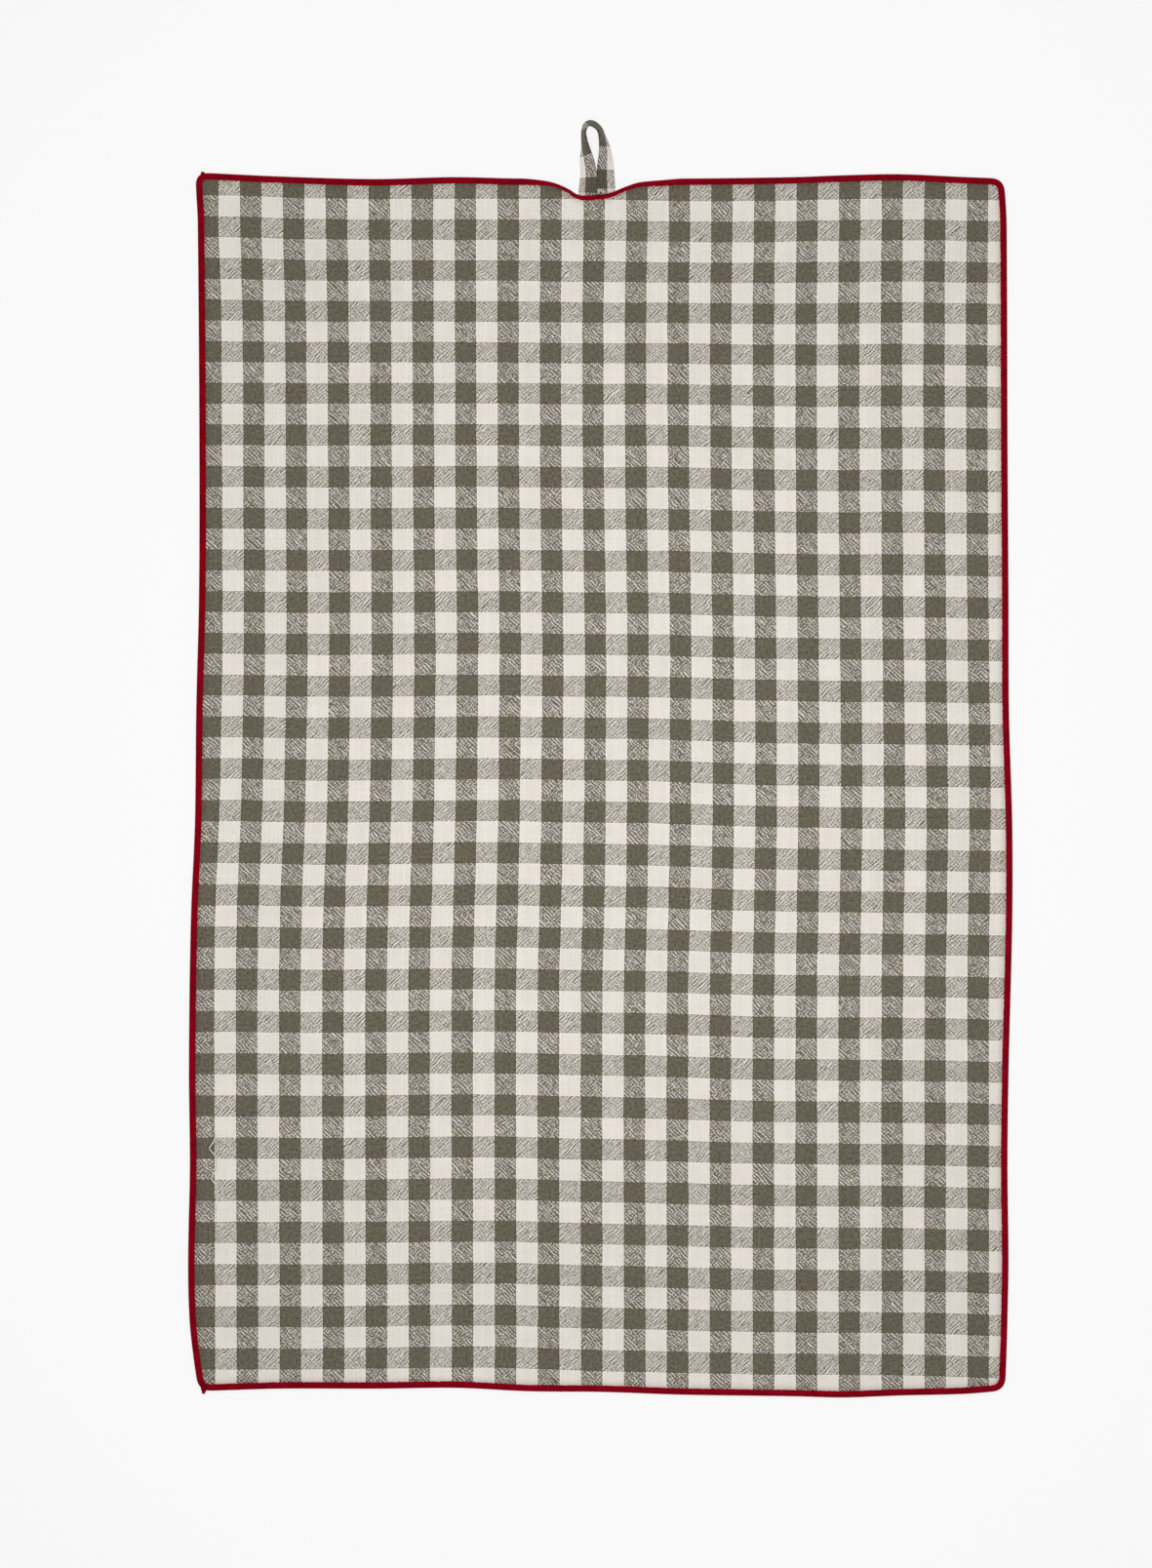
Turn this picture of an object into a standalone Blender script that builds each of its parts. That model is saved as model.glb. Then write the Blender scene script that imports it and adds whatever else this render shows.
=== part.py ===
"""Tea towel laid flat: a checked cloth, its red overlocked edging and the hanging loop at its top edge.

+X is to the right, +Y is towards the edge with the loop, and +Z is up from the surface that it lies on.
Sizes and tables are in millimetres, and the finished objects are in metres.
"""

import math

import bmesh
import bpy
from mathutils import Vector

MM = 0.001

# The cut cloth
CLOTH_WIDTH = 500.0
CLOTH_LENGTH = 750.0
CLOTH_THICKNESS = 1.2
GRID_PITCH_ACROSS = 20.0
GRID_PITCH_DOWN = 22.0
GRID_PITCH_AT_LOOP = 8.0

# The edging wraps the cloth's edge as a U, this far from it on every side
CLEARANCE = 0.3
EDGING_WIDTH = 4.2
EDGING_WALL = 0.8
EDGING_END_WALL = 1.2
EDGING_ROUND = 0.9
CORNER_REACH = 8.0
CORNER_STEPS = 6

# The hanging loop, a folded tape whose ends lie under the cloth
TAPE_WIDTH = 11.4
TAPE_THICKNESS = 2.4
TAPE_CHAMFER = 0.5
TAPE_STEP = 2.0
LOOP_ACROSS = -2.0
LOOP_BELOW_TOP = 11.2
LOOP_RAISE_HALF_WIDTH = 18.0
LOOP_RAISE_GONE_ACROSS = 60.0
LOOP_RAISE_DEPTH = 26.0
LOOP_RAISE_GONE_DOWN = 70.0

# The edging holds the cloth's edge up, and the cloth comes down to the surface over these distances
EDGE_FLAT = 8.0
EDGE_RAMP = 16.0
EDGE_DOWN = 26.0

# How far each side lies outside the nominal width, by the distance down from the top edge
SIDE_EDGES = (
    # down, left, right
    (0.0, -1.0, -0.5),
    (30.0, -2.5, -0.3),
    (160.0, -3.7, 0.3),
    (260.0, -3.6, 0.9),
    (330.0, -1.9, 1.2),
    (400.0, -0.8, 3.2),
    (460.0, 1.7, 3.2),
    (550.0, 2.9, 1.0),
    (610.0, 2.3, 0.3),
    (670.0, 3.4, 0.9),
    (705.0, 2.6, 0.3),
    (730.0, 0.0, -0.2),
    (750.0, -3.0, -0.4),
)

# How far each end lies outside the nominal length, by the place across from the middle
END_EDGES = (
    # across, top, bottom
    (-250.0, 1.8, -2.5),
    (-240.0, 1.5, -2.8),
    (-200.0, -0.4, -4.0),
    (-140.0, -2.1, -4.0),
    (-90.0, -0.9, -4.5),
    (-45.0, -1.9, -2.4),
    (0.0, -1.8, -2.0),
    (50.0, -1.8, -0.3),
    (120.0, -0.9, 0.7),
    (150.0, 0.2, 1.4),
    (185.0, 0.9, 0.2),
    (225.0, -0.8, -0.8),
    (250.0, -1.8, -2.9),
)

# The loop's stitching draws the top edge in, this far below the rest of it
TOP_DIP = (
    # across, drop
    (-46.0, 0.0),
    (-36.0, 1.2),
    (-30.0, 2.4),
    (-24.0, 4.5),
    (-18.0, 7.5),
    (-13.5, 9.9),
    (-9.0, 10.4),
    (-3.0, 10.3),
    (6.0, 9.3),
    (15.0, 6.5),
    (24.0, 3.3),
    (34.0, 1.6),
    (50.0, 0.0),
)

# Soft swells where the cloth does not lie quite down
SWELLS = (
    # across, down, half width, half length, height
    (-195.0, 330.0, 45.0, 95.0, 1.3),
    (190.0, 430.0, 48.0, 85.0, 1.5),
    (-120.0, 672.0, 85.0, 50.0, 1.1),
    (140.0, 675.0, 75.0, 48.0, 1.3),
    (-150.0, 82.0, 70.0, 50.0, 1.0),
    (170.0, 90.0, 65.0, 55.0, 1.2),
    (25.0, 255.0, 120.0, 45.0, 0.8),
    (-50.0, 540.0, 110.0, 50.0, 0.7),
)

# The tape's middle line as seen from above, from the loop's base, and its turn up from lying flat
LOOP_ROUTE = (
    # across, up, turn in degrees
    (-6.1, -18.0, 0.0),
    (-6.1, -8.0, 0.0),
    (-6.1, 2.0, 0.0),
    (-6.0, 7.0, 17.0),
    (-5.9, 12.2, 40.0),
    (-6.1, 18.0, 52.0),
    (-6.6, 23.7, 65.0),
    (-7.4, 29.5, 75.0),
    (-8.2, 34.5, 84.0),
    (-8.0, 39.5, 88.0),
    (-6.6, 42.7, 88.0),
    (-4.3, 44.0, 88.0),
    (-1.5, 42.6, 87.0),
    (1.4, 39.2, 84.0),
    (3.2, 35.2, 79.0),
    (4.2, 31.4, 72.0),
    (4.8, 27.6, 62.0),
    (5.1, 23.7, 52.0),
    (5.5, 18.0, 36.0),
    (6.0, 12.2, 21.0),
    (6.1, 7.0, 10.0),
    (6.1, 2.0, 0.0),
    (6.1, -8.0, 0.0),
    (6.1, -18.0, 0.0),
)

# Colours, linear
CHECK_COLOUR = (0.41, 0.38, 0.33)
LOOP_COLOUR = (0.33, 0.30, 0.25)
THREAD_COLOUR = (0.216, 0.003, 0.010)


def smooth(rows, column, at):
    """A column's value at a place in the first column, on a smooth curve through the rows."""
    if at <= rows[0][0]:
        return rows[0][column]
    if at >= rows[-1][0]:
        return rows[-1][column]
    upper = next(i for i, row in enumerate(rows) if row[0] > at)
    before = rows[max(upper - 2, 0)]
    low, high = rows[upper - 1], rows[upper]
    after = rows[min(upper + 1, len(rows) - 1)]
    span = high[0] - low[0]
    t = (at - low[0]) / span
    slope_low = (high[column] - before[column]) / (high[0] - before[0]) * span
    slope_high = (after[column] - low[column]) / (after[0] - low[0]) * span
    return (
        (2 * t**3 - 3 * t**2 + 1) * low[column]
        + (t**3 - 2 * t**2 + t) * slope_low
        + (3 * t**2 - 2 * t**3) * high[column]
        + (t**3 - t**2) * slope_high
    )


def fade(distance, full, gone):
    """1 up to the distance full, 0 from the distance gone on, and smooth between them."""
    t = min(max((distance - full) / (gone - full), 0.0), 1.0)
    return 1.0 - t * t * (3.0 - 2.0 * t)


def spread(start, end, pitch):
    """Even places from start up to end, no further apart than the pitch, without end itself."""
    count = math.ceil((end - start) / pitch)
    return [start + (end - start) * i / count for i in range(count)]


def places_across():
    """The grid's places across the cloth, closer at the edges and beside the loop."""
    half = CLOTH_WIDTH / 2
    dip_left, dip_right = TOP_DIP[0][0], TOP_DIP[-1][0]
    return (
        [-half, EDGE_FLAT - half, EDGE_RAMP - half]
        + spread(EDGE_DOWN - half, dip_left, GRID_PITCH_ACROSS)
        + spread(dip_left, dip_right, GRID_PITCH_AT_LOOP)
        + spread(dip_right, half - EDGE_DOWN, GRID_PITCH_ACROSS)
        + [half - EDGE_DOWN, half - EDGE_RAMP, half - EDGE_FLAT, half]
    )


def places_down():
    """The grid's places down the cloth from its top edge, closer at both ends."""
    return (
        [0.0, EDGE_FLAT, EDGE_RAMP]
        + spread(EDGE_DOWN, CLOTH_LENGTH - EDGE_DOWN, GRID_PITCH_DOWN)
        + [CLOTH_LENGTH - EDGE_DOWN, CLOTH_LENGTH - EDGE_RAMP, CLOTH_LENGTH - EDGE_FLAT, CLOTH_LENGTH]
    )


def plan_point(across, down):
    """Where a place on the cloth lies, seen from above."""
    half = CLOTH_WIDTH / 2
    left = -half - smooth(SIDE_EDGES, 1, down)
    right = half + smooth(SIDE_EDGES, 2, down)
    top = CLOTH_LENGTH / 2 + smooth(END_EDGES, 1, across) - smooth(TOP_DIP, 1, across)
    bottom = -CLOTH_LENGTH / 2 - smooth(END_EDGES, 2, across)
    over = (across + half) / CLOTH_WIDTH
    along = down / CLOTH_LENGTH
    return Vector((left + (right - left) * over, top + (bottom - top) * along))


def raise_over_tape(across, down):
    """How far the tape's ends hold the cloth and its edging up."""
    beside = fade(abs(across - LOOP_ACROSS), LOOP_RAISE_HALF_WIDTH, LOOP_RAISE_GONE_ACROSS)
    return (TAPE_THICKNESS + CLEARANCE) * beside * fade(down, LOOP_RAISE_DEPTH, LOOP_RAISE_GONE_DOWN)


def swell(across, down):
    """The height of the soft swells at a place."""
    height = 0.0
    for middle_across, middle_down, half_width, half_length, top in SWELLS:
        reach = ((across - middle_across) / half_width) ** 2 + ((down - middle_down) / half_length) ** 2
        height = max(height, top * max(1.0 - reach, 0.0) ** 2)
    return height


def underside(across, down):
    """The height of the cloth's underside, which is 0 wherever it lies on the surface."""
    from_edge = min(
        across + CLOTH_WIDTH / 2, CLOTH_WIDTH / 2 - across, down, CLOTH_LENGTH - down
    )
    at_edge = fade(from_edge, EDGE_FLAT, EDGE_DOWN)
    lift = (EDGING_WALL + CLEARANCE) * at_edge + swell(across, down) * (1.0 - at_edge)
    return lift + raise_over_tape(across, down)


def corner_arc(before, corner, after):
    """Points on the curve that rounds a corner off, without its two ends."""
    arc = []
    for step in range(1, CORNER_STEPS):
        t = step / CORNER_STEPS
        arc.append(before * (1 - t) ** 2 + corner * 2 * t * (1 - t) + after * t * t)
    return arc


def outline():
    """The towel's outer outline, clockwise from the left side's lower end, in four sides and four corners.

    Each point is (place, its place across, its place down).
    """
    half = CLOTH_WIDTH / 2
    across, down = places_across()[1:-1], places_down()[1:-1]
    sides = (
        [(-half, place) for place in reversed(down)],
        [(place, 0.0) for place in across],
        [(half, place) for place in down],
        [(place, CLOTH_LENGTH) for place in reversed(across)],
    )
    corners = ((-half, 0.0), (half, 0.0), (half, CLOTH_LENGTH), (-half, CLOTH_LENGTH))
    stretches = []
    for i, corner in enumerate(corners):
        stretches.append([(plan_point(*place), *place) for place in sides[i]])
        before, after = plan_point(*sides[i][-1]), plan_point(*sides[(i + 1) % 4][0])
        arc = corner_arc(before, plan_point(*corner), after)
        stretches.append([(place, *corner) for place in arc])
    return stretches


def outward(points):
    """At each point of a closed clockwise outline, the step that moves its sides 1 mm outwards."""
    steps = []
    for i, point in enumerate(points):
        before = (point - points[i - 1]).normalized()
        after = (points[(i + 1) % len(points)] - point).normalized()
        first, second = Vector((-before.y, before.x)), Vector((-after.y, after.x))
        steps.append((first + second) / (1.0 + first.dot(second)))
    return steps


def material(name, colour, roughness):
    finish = bpy.data.materials.new(name)
    finish.use_nodes = True
    shader = finish.node_tree.nodes["Principled BSDF"]
    shader.inputs["Base Color"].default_value = (*colour, 1.0)
    shader.inputs["Roughness"].default_value = roughness
    shader.inputs["Metallic"].default_value = 0.0
    finish.diffuse_color = (*colour, 1.0)
    return finish


def add_object(name, body, finish):
    """A named object from a bmesh in millimetres."""
    bmesh.ops.scale(body, vec=(MM, MM, MM), verts=body.verts)
    mesh = bpy.data.meshes.new(name)
    body.to_mesh(mesh)
    body.free()
    mesh.materials.append(finish)
    mesh.shade_smooth()
    piece = bpy.data.objects.new(name, mesh)
    bpy.context.collection.objects.link(piece)
    return piece


def add_cloth(stretches, finish):
    """The cloth as a grid on its underside, thickened upwards, its border held inside the edging."""
    across, down = places_across(), places_down()
    points = [entry for stretch in stretches for entry in stretch]
    steps = outward([entry[0] for entry in points])
    inset = EDGING_END_WALL + CLEARANCE
    border = {}
    for (place, at_across, at_down), step in zip(points, steps):
        border.setdefault((at_across, at_down), []).append(place - step * inset)
    body = bmesh.new()
    columns, rows = len(across) - 1, len(down) - 1
    bmesh.ops.create_grid(body, x_segments=columns, y_segments=rows, size=0.5)
    for vert in body.verts:
        at_across = across[round((vert.co.x + 0.5) * columns)]
        at_down = down[round((0.5 - vert.co.y) * rows)]
        held = border.get((at_across, at_down))
        plan = held[len(held) // 2] if held else plan_point(at_across, at_down)
        vert.co = (plan.x, plan.y, underside(at_across, at_down))
    cloth = add_object("cloth", body, finish)
    thickness = cloth.modifiers.new("Thickness", "SOLIDIFY")
    thickness.thickness = CLOTH_THICKNESS * MM
    thickness.offset = 1.0
    return cloth


def edging_section():
    """The U's section as (outwards from the outer outline, height), open towards the cloth."""
    slot = CLOTH_THICKNESS + 2 * CLEARANCE
    height = slot + 2 * EDGING_WALL
    low, high = EDGING_WALL, EDGING_WALL + slot
    return (
        (-EDGING_WIDTH, low),
        (-EDGING_WIDTH, EDGING_WALL / 3),
        (EDGING_WALL - EDGING_WIDTH, 0.0),
        (-1.6 * EDGING_ROUND, 0.0),
        (-0.4 * EDGING_ROUND, 0.25 * height),
        (0.0, height / 2),
        (-0.4 * EDGING_ROUND, 0.75 * height),
        (-1.6 * EDGING_ROUND, height),
        (EDGING_WALL - EDGING_WIDTH, height),
        (-EDGING_WIDTH, height - EDGING_WALL / 3),
        (-EDGING_WIDTH, high),
        (-EDGING_END_WALL, high),
        (-EDGING_END_WALL, low),
    )


def sweep(name, rings, finish):
    """One closed body through a row of rings of points, with both ends filled."""
    body = bmesh.new()
    loops = [[body.verts.new(point) for point in ring] for ring in rings]
    for ring, following in zip(loops, loops[1:]):
        for i, vert in enumerate(ring):
            j = (i + 1) % len(ring)
            body.faces.new((vert, ring[j], following[j], following[i]))
    body.faces.new(loops[0])
    body.faces.new(loops[-1])
    bmesh.ops.recalc_face_normals(body, faces=body.faces)
    return add_object(name, body, finish)


def add_edging(stretches, finish):
    """A run of edging on each side, the top and bottom runs taking in the corners."""
    lengths = [len(stretch) for stretch in stretches]
    points = [entry for stretch in stretches for entry in stretch]
    steps = outward([entry[0] for entry in points])
    closed = list(zip(points, steps))
    starts = [sum(lengths[:i]) for i in range(len(lengths))]
    ends = {
        "edging_left": (starts[0], starts[1] - 1),
        "edging_top": (starts[1] - 1, starts[4]),
        "edging_right": (starts[4], starts[5] - 1),
        "edging_bottom": (starts[5] - 1, len(closed)),
    }
    section = edging_section()
    for name, (first, last) in ends.items():
        run = [closed[i % len(closed)] for i in range(first, last + 1)]
        places = [place for (place, _, _), _ in run]
        for end, inner in ((0, 1), (-1, -2)):
            apart = (places[inner] - places[end]).normalized()
            places[end] = places[end] + apart * CLEARANCE / 2
        rings = []
        for place, ((_, at_across, at_down), step) in zip(places, run):
            raised = raise_over_tape(at_across, at_down)
            rings.append(
                [(place.x + step.x * out, place.y + step.y * out, raised + up) for out, up in section]
            )
        sweep(name, rings, finish)


def tape_section():
    """The tape's section as (towards its inner edge, away from its hidden face)."""
    wide, thick, cut = TAPE_WIDTH / 2, TAPE_THICKNESS / 2, TAPE_CHAMFER
    return (
        (-wide, -thick + cut),
        (-wide + cut, -thick),
        (wide - cut, -thick),
        (wide, -thick + cut),
        (wide, thick - cut),
        (wide - cut, thick),
        (-wide + cut, thick),
        (-wide, thick - cut),
    )


def add_hanging_loop(finish):
    """The folded tape, flat at both ends and stood on its outer edge round the top of the loop."""
    along = [0.0]
    for (x0, y0, _), (x1, y1, _) in zip(LOOP_ROUTE, LOOP_ROUTE[1:]):
        along.append(along[-1] + math.hypot(x1 - x0, y1 - y0))
    rows = [(length, *row) for length, row in zip(along, LOOP_ROUTE)]
    count = round(along[-1] / TAPE_STEP)
    places = [along[-1] * i / count for i in range(count + 1)]
    middle = [Vector((smooth(rows, 1, at), smooth(rows, 2, at))) for at in places]
    base = Vector((LOOP_ACROSS, CLOTH_LENGTH / 2 - LOOP_BELOW_TOP))
    rings = []
    for i, at in enumerate(places):
        ahead = (middle[min(i + 1, count)] - middle[max(i - 1, 0)]).normalized()
        inward = Vector((ahead.y, -ahead.x))
        turn = math.radians(smooth(rows, 3, at))
        middle_height = TAPE_WIDTH / 2 * math.sin(turn) + TAPE_THICKNESS / 2 * math.cos(turn)
        ring = []
        for wide, thick in tape_section():
            plan = base + middle[i] + inward * (wide * math.cos(turn) - thick * math.sin(turn))
            height = middle_height + wide * math.sin(turn) + thick * math.cos(turn)
            ring.append((plan.x, plan.y, max(height, 0.0)))
        rings.append(ring)
    return sweep("hanging_loop", rings, finish)


def centre_on_origin():
    """Moves every mesh so that the towel's box stands on the origin by the middle of its underside."""
    pieces = [piece for piece in bpy.data.objects if piece.type == "MESH"]
    places = [vert.co for piece in pieces for vert in piece.data.vertices]
    middle = Vector(
        [(min(p[axis] for p in places) + max(p[axis] for p in places)) / 2 for axis in (0, 1)] + [0.0]
    )
    for piece in pieces:
        for vert in piece.data.vertices:
            vert.co -= middle


def main():
    for item in list(bpy.data.objects):
        bpy.data.objects.remove(item, do_unlink=True)
    stretches = outline()
    add_cloth(stretches, material("checked_cotton", CHECK_COLOUR, 0.9))
    add_edging(stretches, material("red_thread", THREAD_COLOUR, 0.7))
    add_hanging_loop(material("checked_tape", LOOP_COLOUR, 0.9))
    centre_on_origin()


main()
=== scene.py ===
"""Looks of a tea towel laid flat: its woven check, overlocked edging, hanging loop and loose yarns.

The tables are in millimetres, from the middle of the cut cloth or down from its top edge. The pieces are
in metres, in the frame of the loaded model: +Y is towards the edge with the loop, and +Z is up.
"""

import math

import bpy
import numpy as np
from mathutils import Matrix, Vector, noise


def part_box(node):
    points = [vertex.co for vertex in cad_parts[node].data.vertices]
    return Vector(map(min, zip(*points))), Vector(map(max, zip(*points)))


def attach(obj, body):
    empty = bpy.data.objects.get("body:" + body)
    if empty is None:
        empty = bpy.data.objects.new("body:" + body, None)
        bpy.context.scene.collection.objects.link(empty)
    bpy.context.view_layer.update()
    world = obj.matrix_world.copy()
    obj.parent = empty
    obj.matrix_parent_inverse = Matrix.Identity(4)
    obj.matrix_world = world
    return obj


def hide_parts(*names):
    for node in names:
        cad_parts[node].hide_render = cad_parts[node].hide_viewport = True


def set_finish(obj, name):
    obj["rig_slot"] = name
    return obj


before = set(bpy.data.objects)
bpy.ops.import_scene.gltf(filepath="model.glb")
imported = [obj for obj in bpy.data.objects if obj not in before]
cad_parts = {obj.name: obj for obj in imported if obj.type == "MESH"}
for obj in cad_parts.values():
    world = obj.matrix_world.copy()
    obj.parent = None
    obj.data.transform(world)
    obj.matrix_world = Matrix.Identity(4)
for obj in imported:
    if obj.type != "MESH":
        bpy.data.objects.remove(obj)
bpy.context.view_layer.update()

bl_info = {
    "name": "Checked Tea Towel",
    "version": (1, 0, 0),
    "blender": (4, 5, 0),
    "location": "3D View > Sidebar > Tea Towel",
    "description": "Builds a checked tea towel with a red overlocked edging and a hanging loop",
    "category": "Add Mesh",
}

MM = 0.001
BODY = "root"

# The cut cloth
CLOTH_WIDTH = 500.0
CLOTH_LENGTH = 750.0
CLOTH_PITCH = 3.3
CLOTH_INSET = 1.5
CLOTH_LIFT_AT_EDGE = 1.25

# The edging holds the cloth's edge up, and the cloth comes down to the surface over these distances
EDGE_FLAT = 8.0
EDGE_DOWN = 26.0
CORNER_STEPS = 8

# The edging's section, how far it reaches past the towel's outline, and the height of its middle
EDGING_WIDTH = 4.5
EDGING_OUT = 0.25
EDGING_HEIGHT = 3.1
EDGING_MIDDLE = 1.7
STITCH_SLANT = 8.0
STITCH_FACES = (16, 5)
STITCH_SEED = 11

# The hanging loop, a folded tape whose ends lie under the cloth
TAPE_WIDTH = 11.4
TAPE_RAISE = 2.7
LOOP_ACROSS = -2.0
LOOP_BELOW_TOP = 11.2
LOOP_LOW_CORNER = (-13.8, 345.8)
LOOP_RAISE_HALF_WIDTH = 18.0
LOOP_RAISE_GONE_ACROSS = 60.0
LOOP_RAISE_DEPTH = 26.0
LOOP_RAISE_GONE_DOWN = 70.0

# How far each side lies outside the nominal width
SIDE_EDGES = (
    # down, left, right
    (0.0, -1.0, -2.0),
    (14.0, -1.7, -0.9),
    (30.0, -2.5, -0.2),
    (160.0, -3.5, 0.3),
    (260.0, -3.3, 0.9),
    (330.0, -1.6, 1.2),
    (400.0, -0.8, 3.2),
    (460.0, 1.7, 3.2),
    (550.0, 2.9, 1.0),
    (610.0, 2.3, 0.3),
    (670.0, 3.4, 0.9),
    (705.0, 2.6, 0.3),
    (730.0, 0.0, -0.4),
    (750.0, -3.0, -1.2),
)

# How far each end lies outside the nominal length
END_EDGES = (
    # across, top, bottom
    (-250.0, 1.8, -2.5),
    (-240.0, 1.5, -2.8),
    (-200.0, -0.4, -4.0),
    (-140.0, -2.1, -4.0),
    (-90.0, -0.9, -4.5),
    (-45.0, -1.9, -2.4),
    (0.0, -1.8, -2.0),
    (50.0, -1.8, -0.3),
    (120.0, -0.9, 0.7),
    (150.0, 0.2, 1.4),
    (185.0, 0.9, 0.2),
    (225.0, -0.8, -0.8),
    (250.0, -1.8, -2.9),
)

# The dip that the loop's stitching draws into the top edge, and the edging's width there
TOP_DIP = (
    # across, drop, share of the edging's width
    (-46.0, 0.0, 1.0),
    (-36.0, 1.2, 0.80),
    (-30.0, 2.4, 0.62),
    (-24.0, 4.5, 0.56),
    (-18.0, 7.5, 0.56),
    (-13.5, 10.4, 0.66),
    (-9.0, 11.0, 0.74),
    (-3.0, 10.7, 0.72),
    (6.0, 9.5, 0.68),
    (15.0, 5.9, 0.64),
    (24.0, 2.8, 0.70),
    (34.0, 1.6, 0.85),
    (50.0, 0.0, 1.0),
)

# Where the check's column lines 0, 18 and 36 run
COLUMN_LINES = (
    # down, first, middle, last
    (33.0, -234.8, 2.8, 238.5),
    (85.0, -233.2, 2.0, 238.0),
    (190.0, -232.6, 2.3, 238.3),
    (290.0, -232.4, 3.6, 239.0),
    (345.0, -233.2, 3.4, 239.8),
    (395.0, -234.4, 3.2, 240.1),
    (445.0, -236.6, 2.6, 239.5),
    (500.0, -237.4, 1.3, 239.0),
    (705.0, -236.9, 1.3, 239.0),
)
COLUMN_NUMBERS = (0, 18, 36)

# How far down the check's row lines 0, 10, 28 and 56 run
ROW_LINES = (
    # across, first, tenth, middle, last
    (-222.0, 12.2, 140.1, 370.9, 734.4),
    (-170.0, 14.0, 140.1, 372.0, 734.2),
    (-67.0, 14.2, 139.9, 371.1, 733.2),
    (-15.0, 14.8, 140.5, 371.8, 734.9),
    (36.0, 15.6, 140.3, 372.5, 736.0),
    (88.0, 15.6, 141.3, 374.4, 737.2),
    (140.0, 14.6, 142.0, 375.4, 737.6),
    (191.0, 14.0, 141.6, 375.8, 738.0),
    (243.0, 15.1, 142.6, 376.4, 739.5),
)
ROW_NUMBERS = (0, 10, 28, 56)

# Soft swells where the cloth does not lie quite down
SWELLS = (
    # across, down, half width, half length, height
    (-195.0, 330.0, 45.0, 95.0, 1.3),
    (190.0, 430.0, 48.0, 85.0, 1.5),
    (-120.0, 672.0, 85.0, 50.0, 1.1),
    (140.0, 675.0, 75.0, 48.0, 1.3),
    (-150.0, 82.0, 70.0, 50.0, 1.0),
    (170.0, 90.0, 65.0, 55.0, 1.2),
    (25.0, 255.0, 120.0, 45.0, 0.8),
    (-50.0, 540.0, 110.0, 50.0, 0.7),
)

# The tape's middle line from the loop's base, its turn up from lying flat, and how much it curls
LOOP_ROUTE = (
    # across, up, turn, curl, in degrees
    (-5.75, -18.0, 0.0, 0.0),
    (-5.75, -8.0, 0.0, 0.0),
    (-5.85, 0.0, 6.0, 0.0),
    (-5.55, 5.5, 20.0, 0.0),
    (-5.4, 11.5, 32.0, 0.0),
    (-5.85, 17.5, 39.0, 0.0),
    (-6.35, 20.5, 45.0, 2.0),
    (-6.8, 23.5, 55.0, 6.0),
    (-7.55, 29.5, 72.0, 17.0),
    (-8.3, 35.5, 80.0, 8.0),
    (-8.05, 38.4, 78.0, 2.0),
    (-7.15, 40.9, 73.0, 0.0),
    (-6.05, 42.3, 69.0, 0.0),
    (-4.4, 42.95, 66.5, 0.0),
    (-2.6, 42.6, 66.5, 0.0),
    (-0.7, 41.45, 68.0, 0.0),
    (0.9, 39.9, 70.0, 0.0),
    (2.05, 38.1, 71.5, 0.0),
    (3.05, 35.3, 70.0, 0.0),
    (4.45, 29.5, 59.0, 0.0),
    (5.15, 23.5, 45.0, -8.0),
    (5.2, 20.5, 37.0, -12.0),
    (5.15, 17.5, 28.0, -14.0),
    (5.1, 11.5, 13.0, -9.0),
    (5.4, 5.5, 6.0, 0.0),
    (5.6, 0.0, 3.0, 0.0),
    (5.75, -8.0, 0.0, 0.0),
    (5.75, -18.0, 0.0, 0.0),
)

# Where the check's row lines cross the tape, by the length along it from its left end
LOOP_CHECKS = (
    # along, row line
    (0.0, -0.4),
    (18.8, 1.0),
    (27.8, 2.0),
    (41.3, 3.0),
    # Row 4, a light row, is kept short here, so that the dark row after it runs on over the loop's top:
    # painted shade in the dark yarns' colour, where the top of the fold is seen in shade
    (57.2, 4.0),
    (61.0, 5.0),
    (81.1, 6.0),
    (94.9, 7.0),
    (106.4, 8.0),
    (127.6, 9.5),
)

# A cream yarn pulled out of the first dark column, and a tuft of fibres at the left edging
PULLED_YARN = (
    # across, down, height above the cloth
    (-236.4, 587.0, -0.4),
    (-236.6, 590.0, 0.2),
    (-237.8, 594.2, 0.9),
    (-240.1, 598.0, 1.3),
    (-237.4, 601.9, 0.8),
    (-236.2, 604.0, 0.1),
    (-236.1, 607.5, 0.0),
    (-236.2, 611.4, 0.2),
    (-238.5, 614.9, 0.9),
    (-238.7, 617.5, 1.0),
    (-236.6, 620.2, 0.7),
    (-235.9, 622.5, 0.4),
    (-235.6, 626.3, 0.2),
    (-235.9, 634.0, 0.1),
    (-236.1, 642.0, -0.4),
)
FIBRE_TUFT = (
    # start across, start down, end across, end down
    (-244.3, 324.0, -243.7, 326.2),
    (-244.6, 325.6, -243.5, 324.8),
)
BASE_THREADS = (
    # start across, start up from the loop's base, end across, end up
    (-0.95, -0.4, -1.0, 3.0),
    (-1.35, 0.1, -1.3, 2.3),
    (-0.6, 0.3, -0.75, 2.4),
)

# The last stitches of the edging, which run off the two left corners
THREAD_ENDS = (
    # name, start across, start down, end across, end down, start size, end size
    ("thread_end_top", -244.1, 1.8, -244.4, -2.3, 1.25, 0.40),
    ("thread_end_bottom", -243.7, 744.8, -244.1, 749.0, 1.2, 0.36),
)

# The small wrinkles that the crisp weave keeps, as waves of these lengths, widths and turns, with the
# step in the noise from one wave to the next and the share of their height that lifts them all
WRINKLES = (
    # length, width, turn in degrees
    (34.0, 9.0, 45.0),
    (28.0, 11.0, -48.0),
    (60.0, 20.0, 8.0),
    (26.0, 12.0, 85.0),
)
WRINKLE_STEP = 7.3
WRINKLE_BASE = 0.35

# How far the check's lines wander, in checks, over what length in millimetres, and the step in the
# noise from the wandering of columns to that of rows
WAVER = 0.022
WAVER_LENGTH = 16.0
WAVER_STEP = 9.5

# How uneven the stitches' reach, spacing and height are, each as a share of its own size
STITCH_UNEVEN = 0.02
STITCH_SHIFT = 0.05
STITCH_RISE = 0.02

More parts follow.
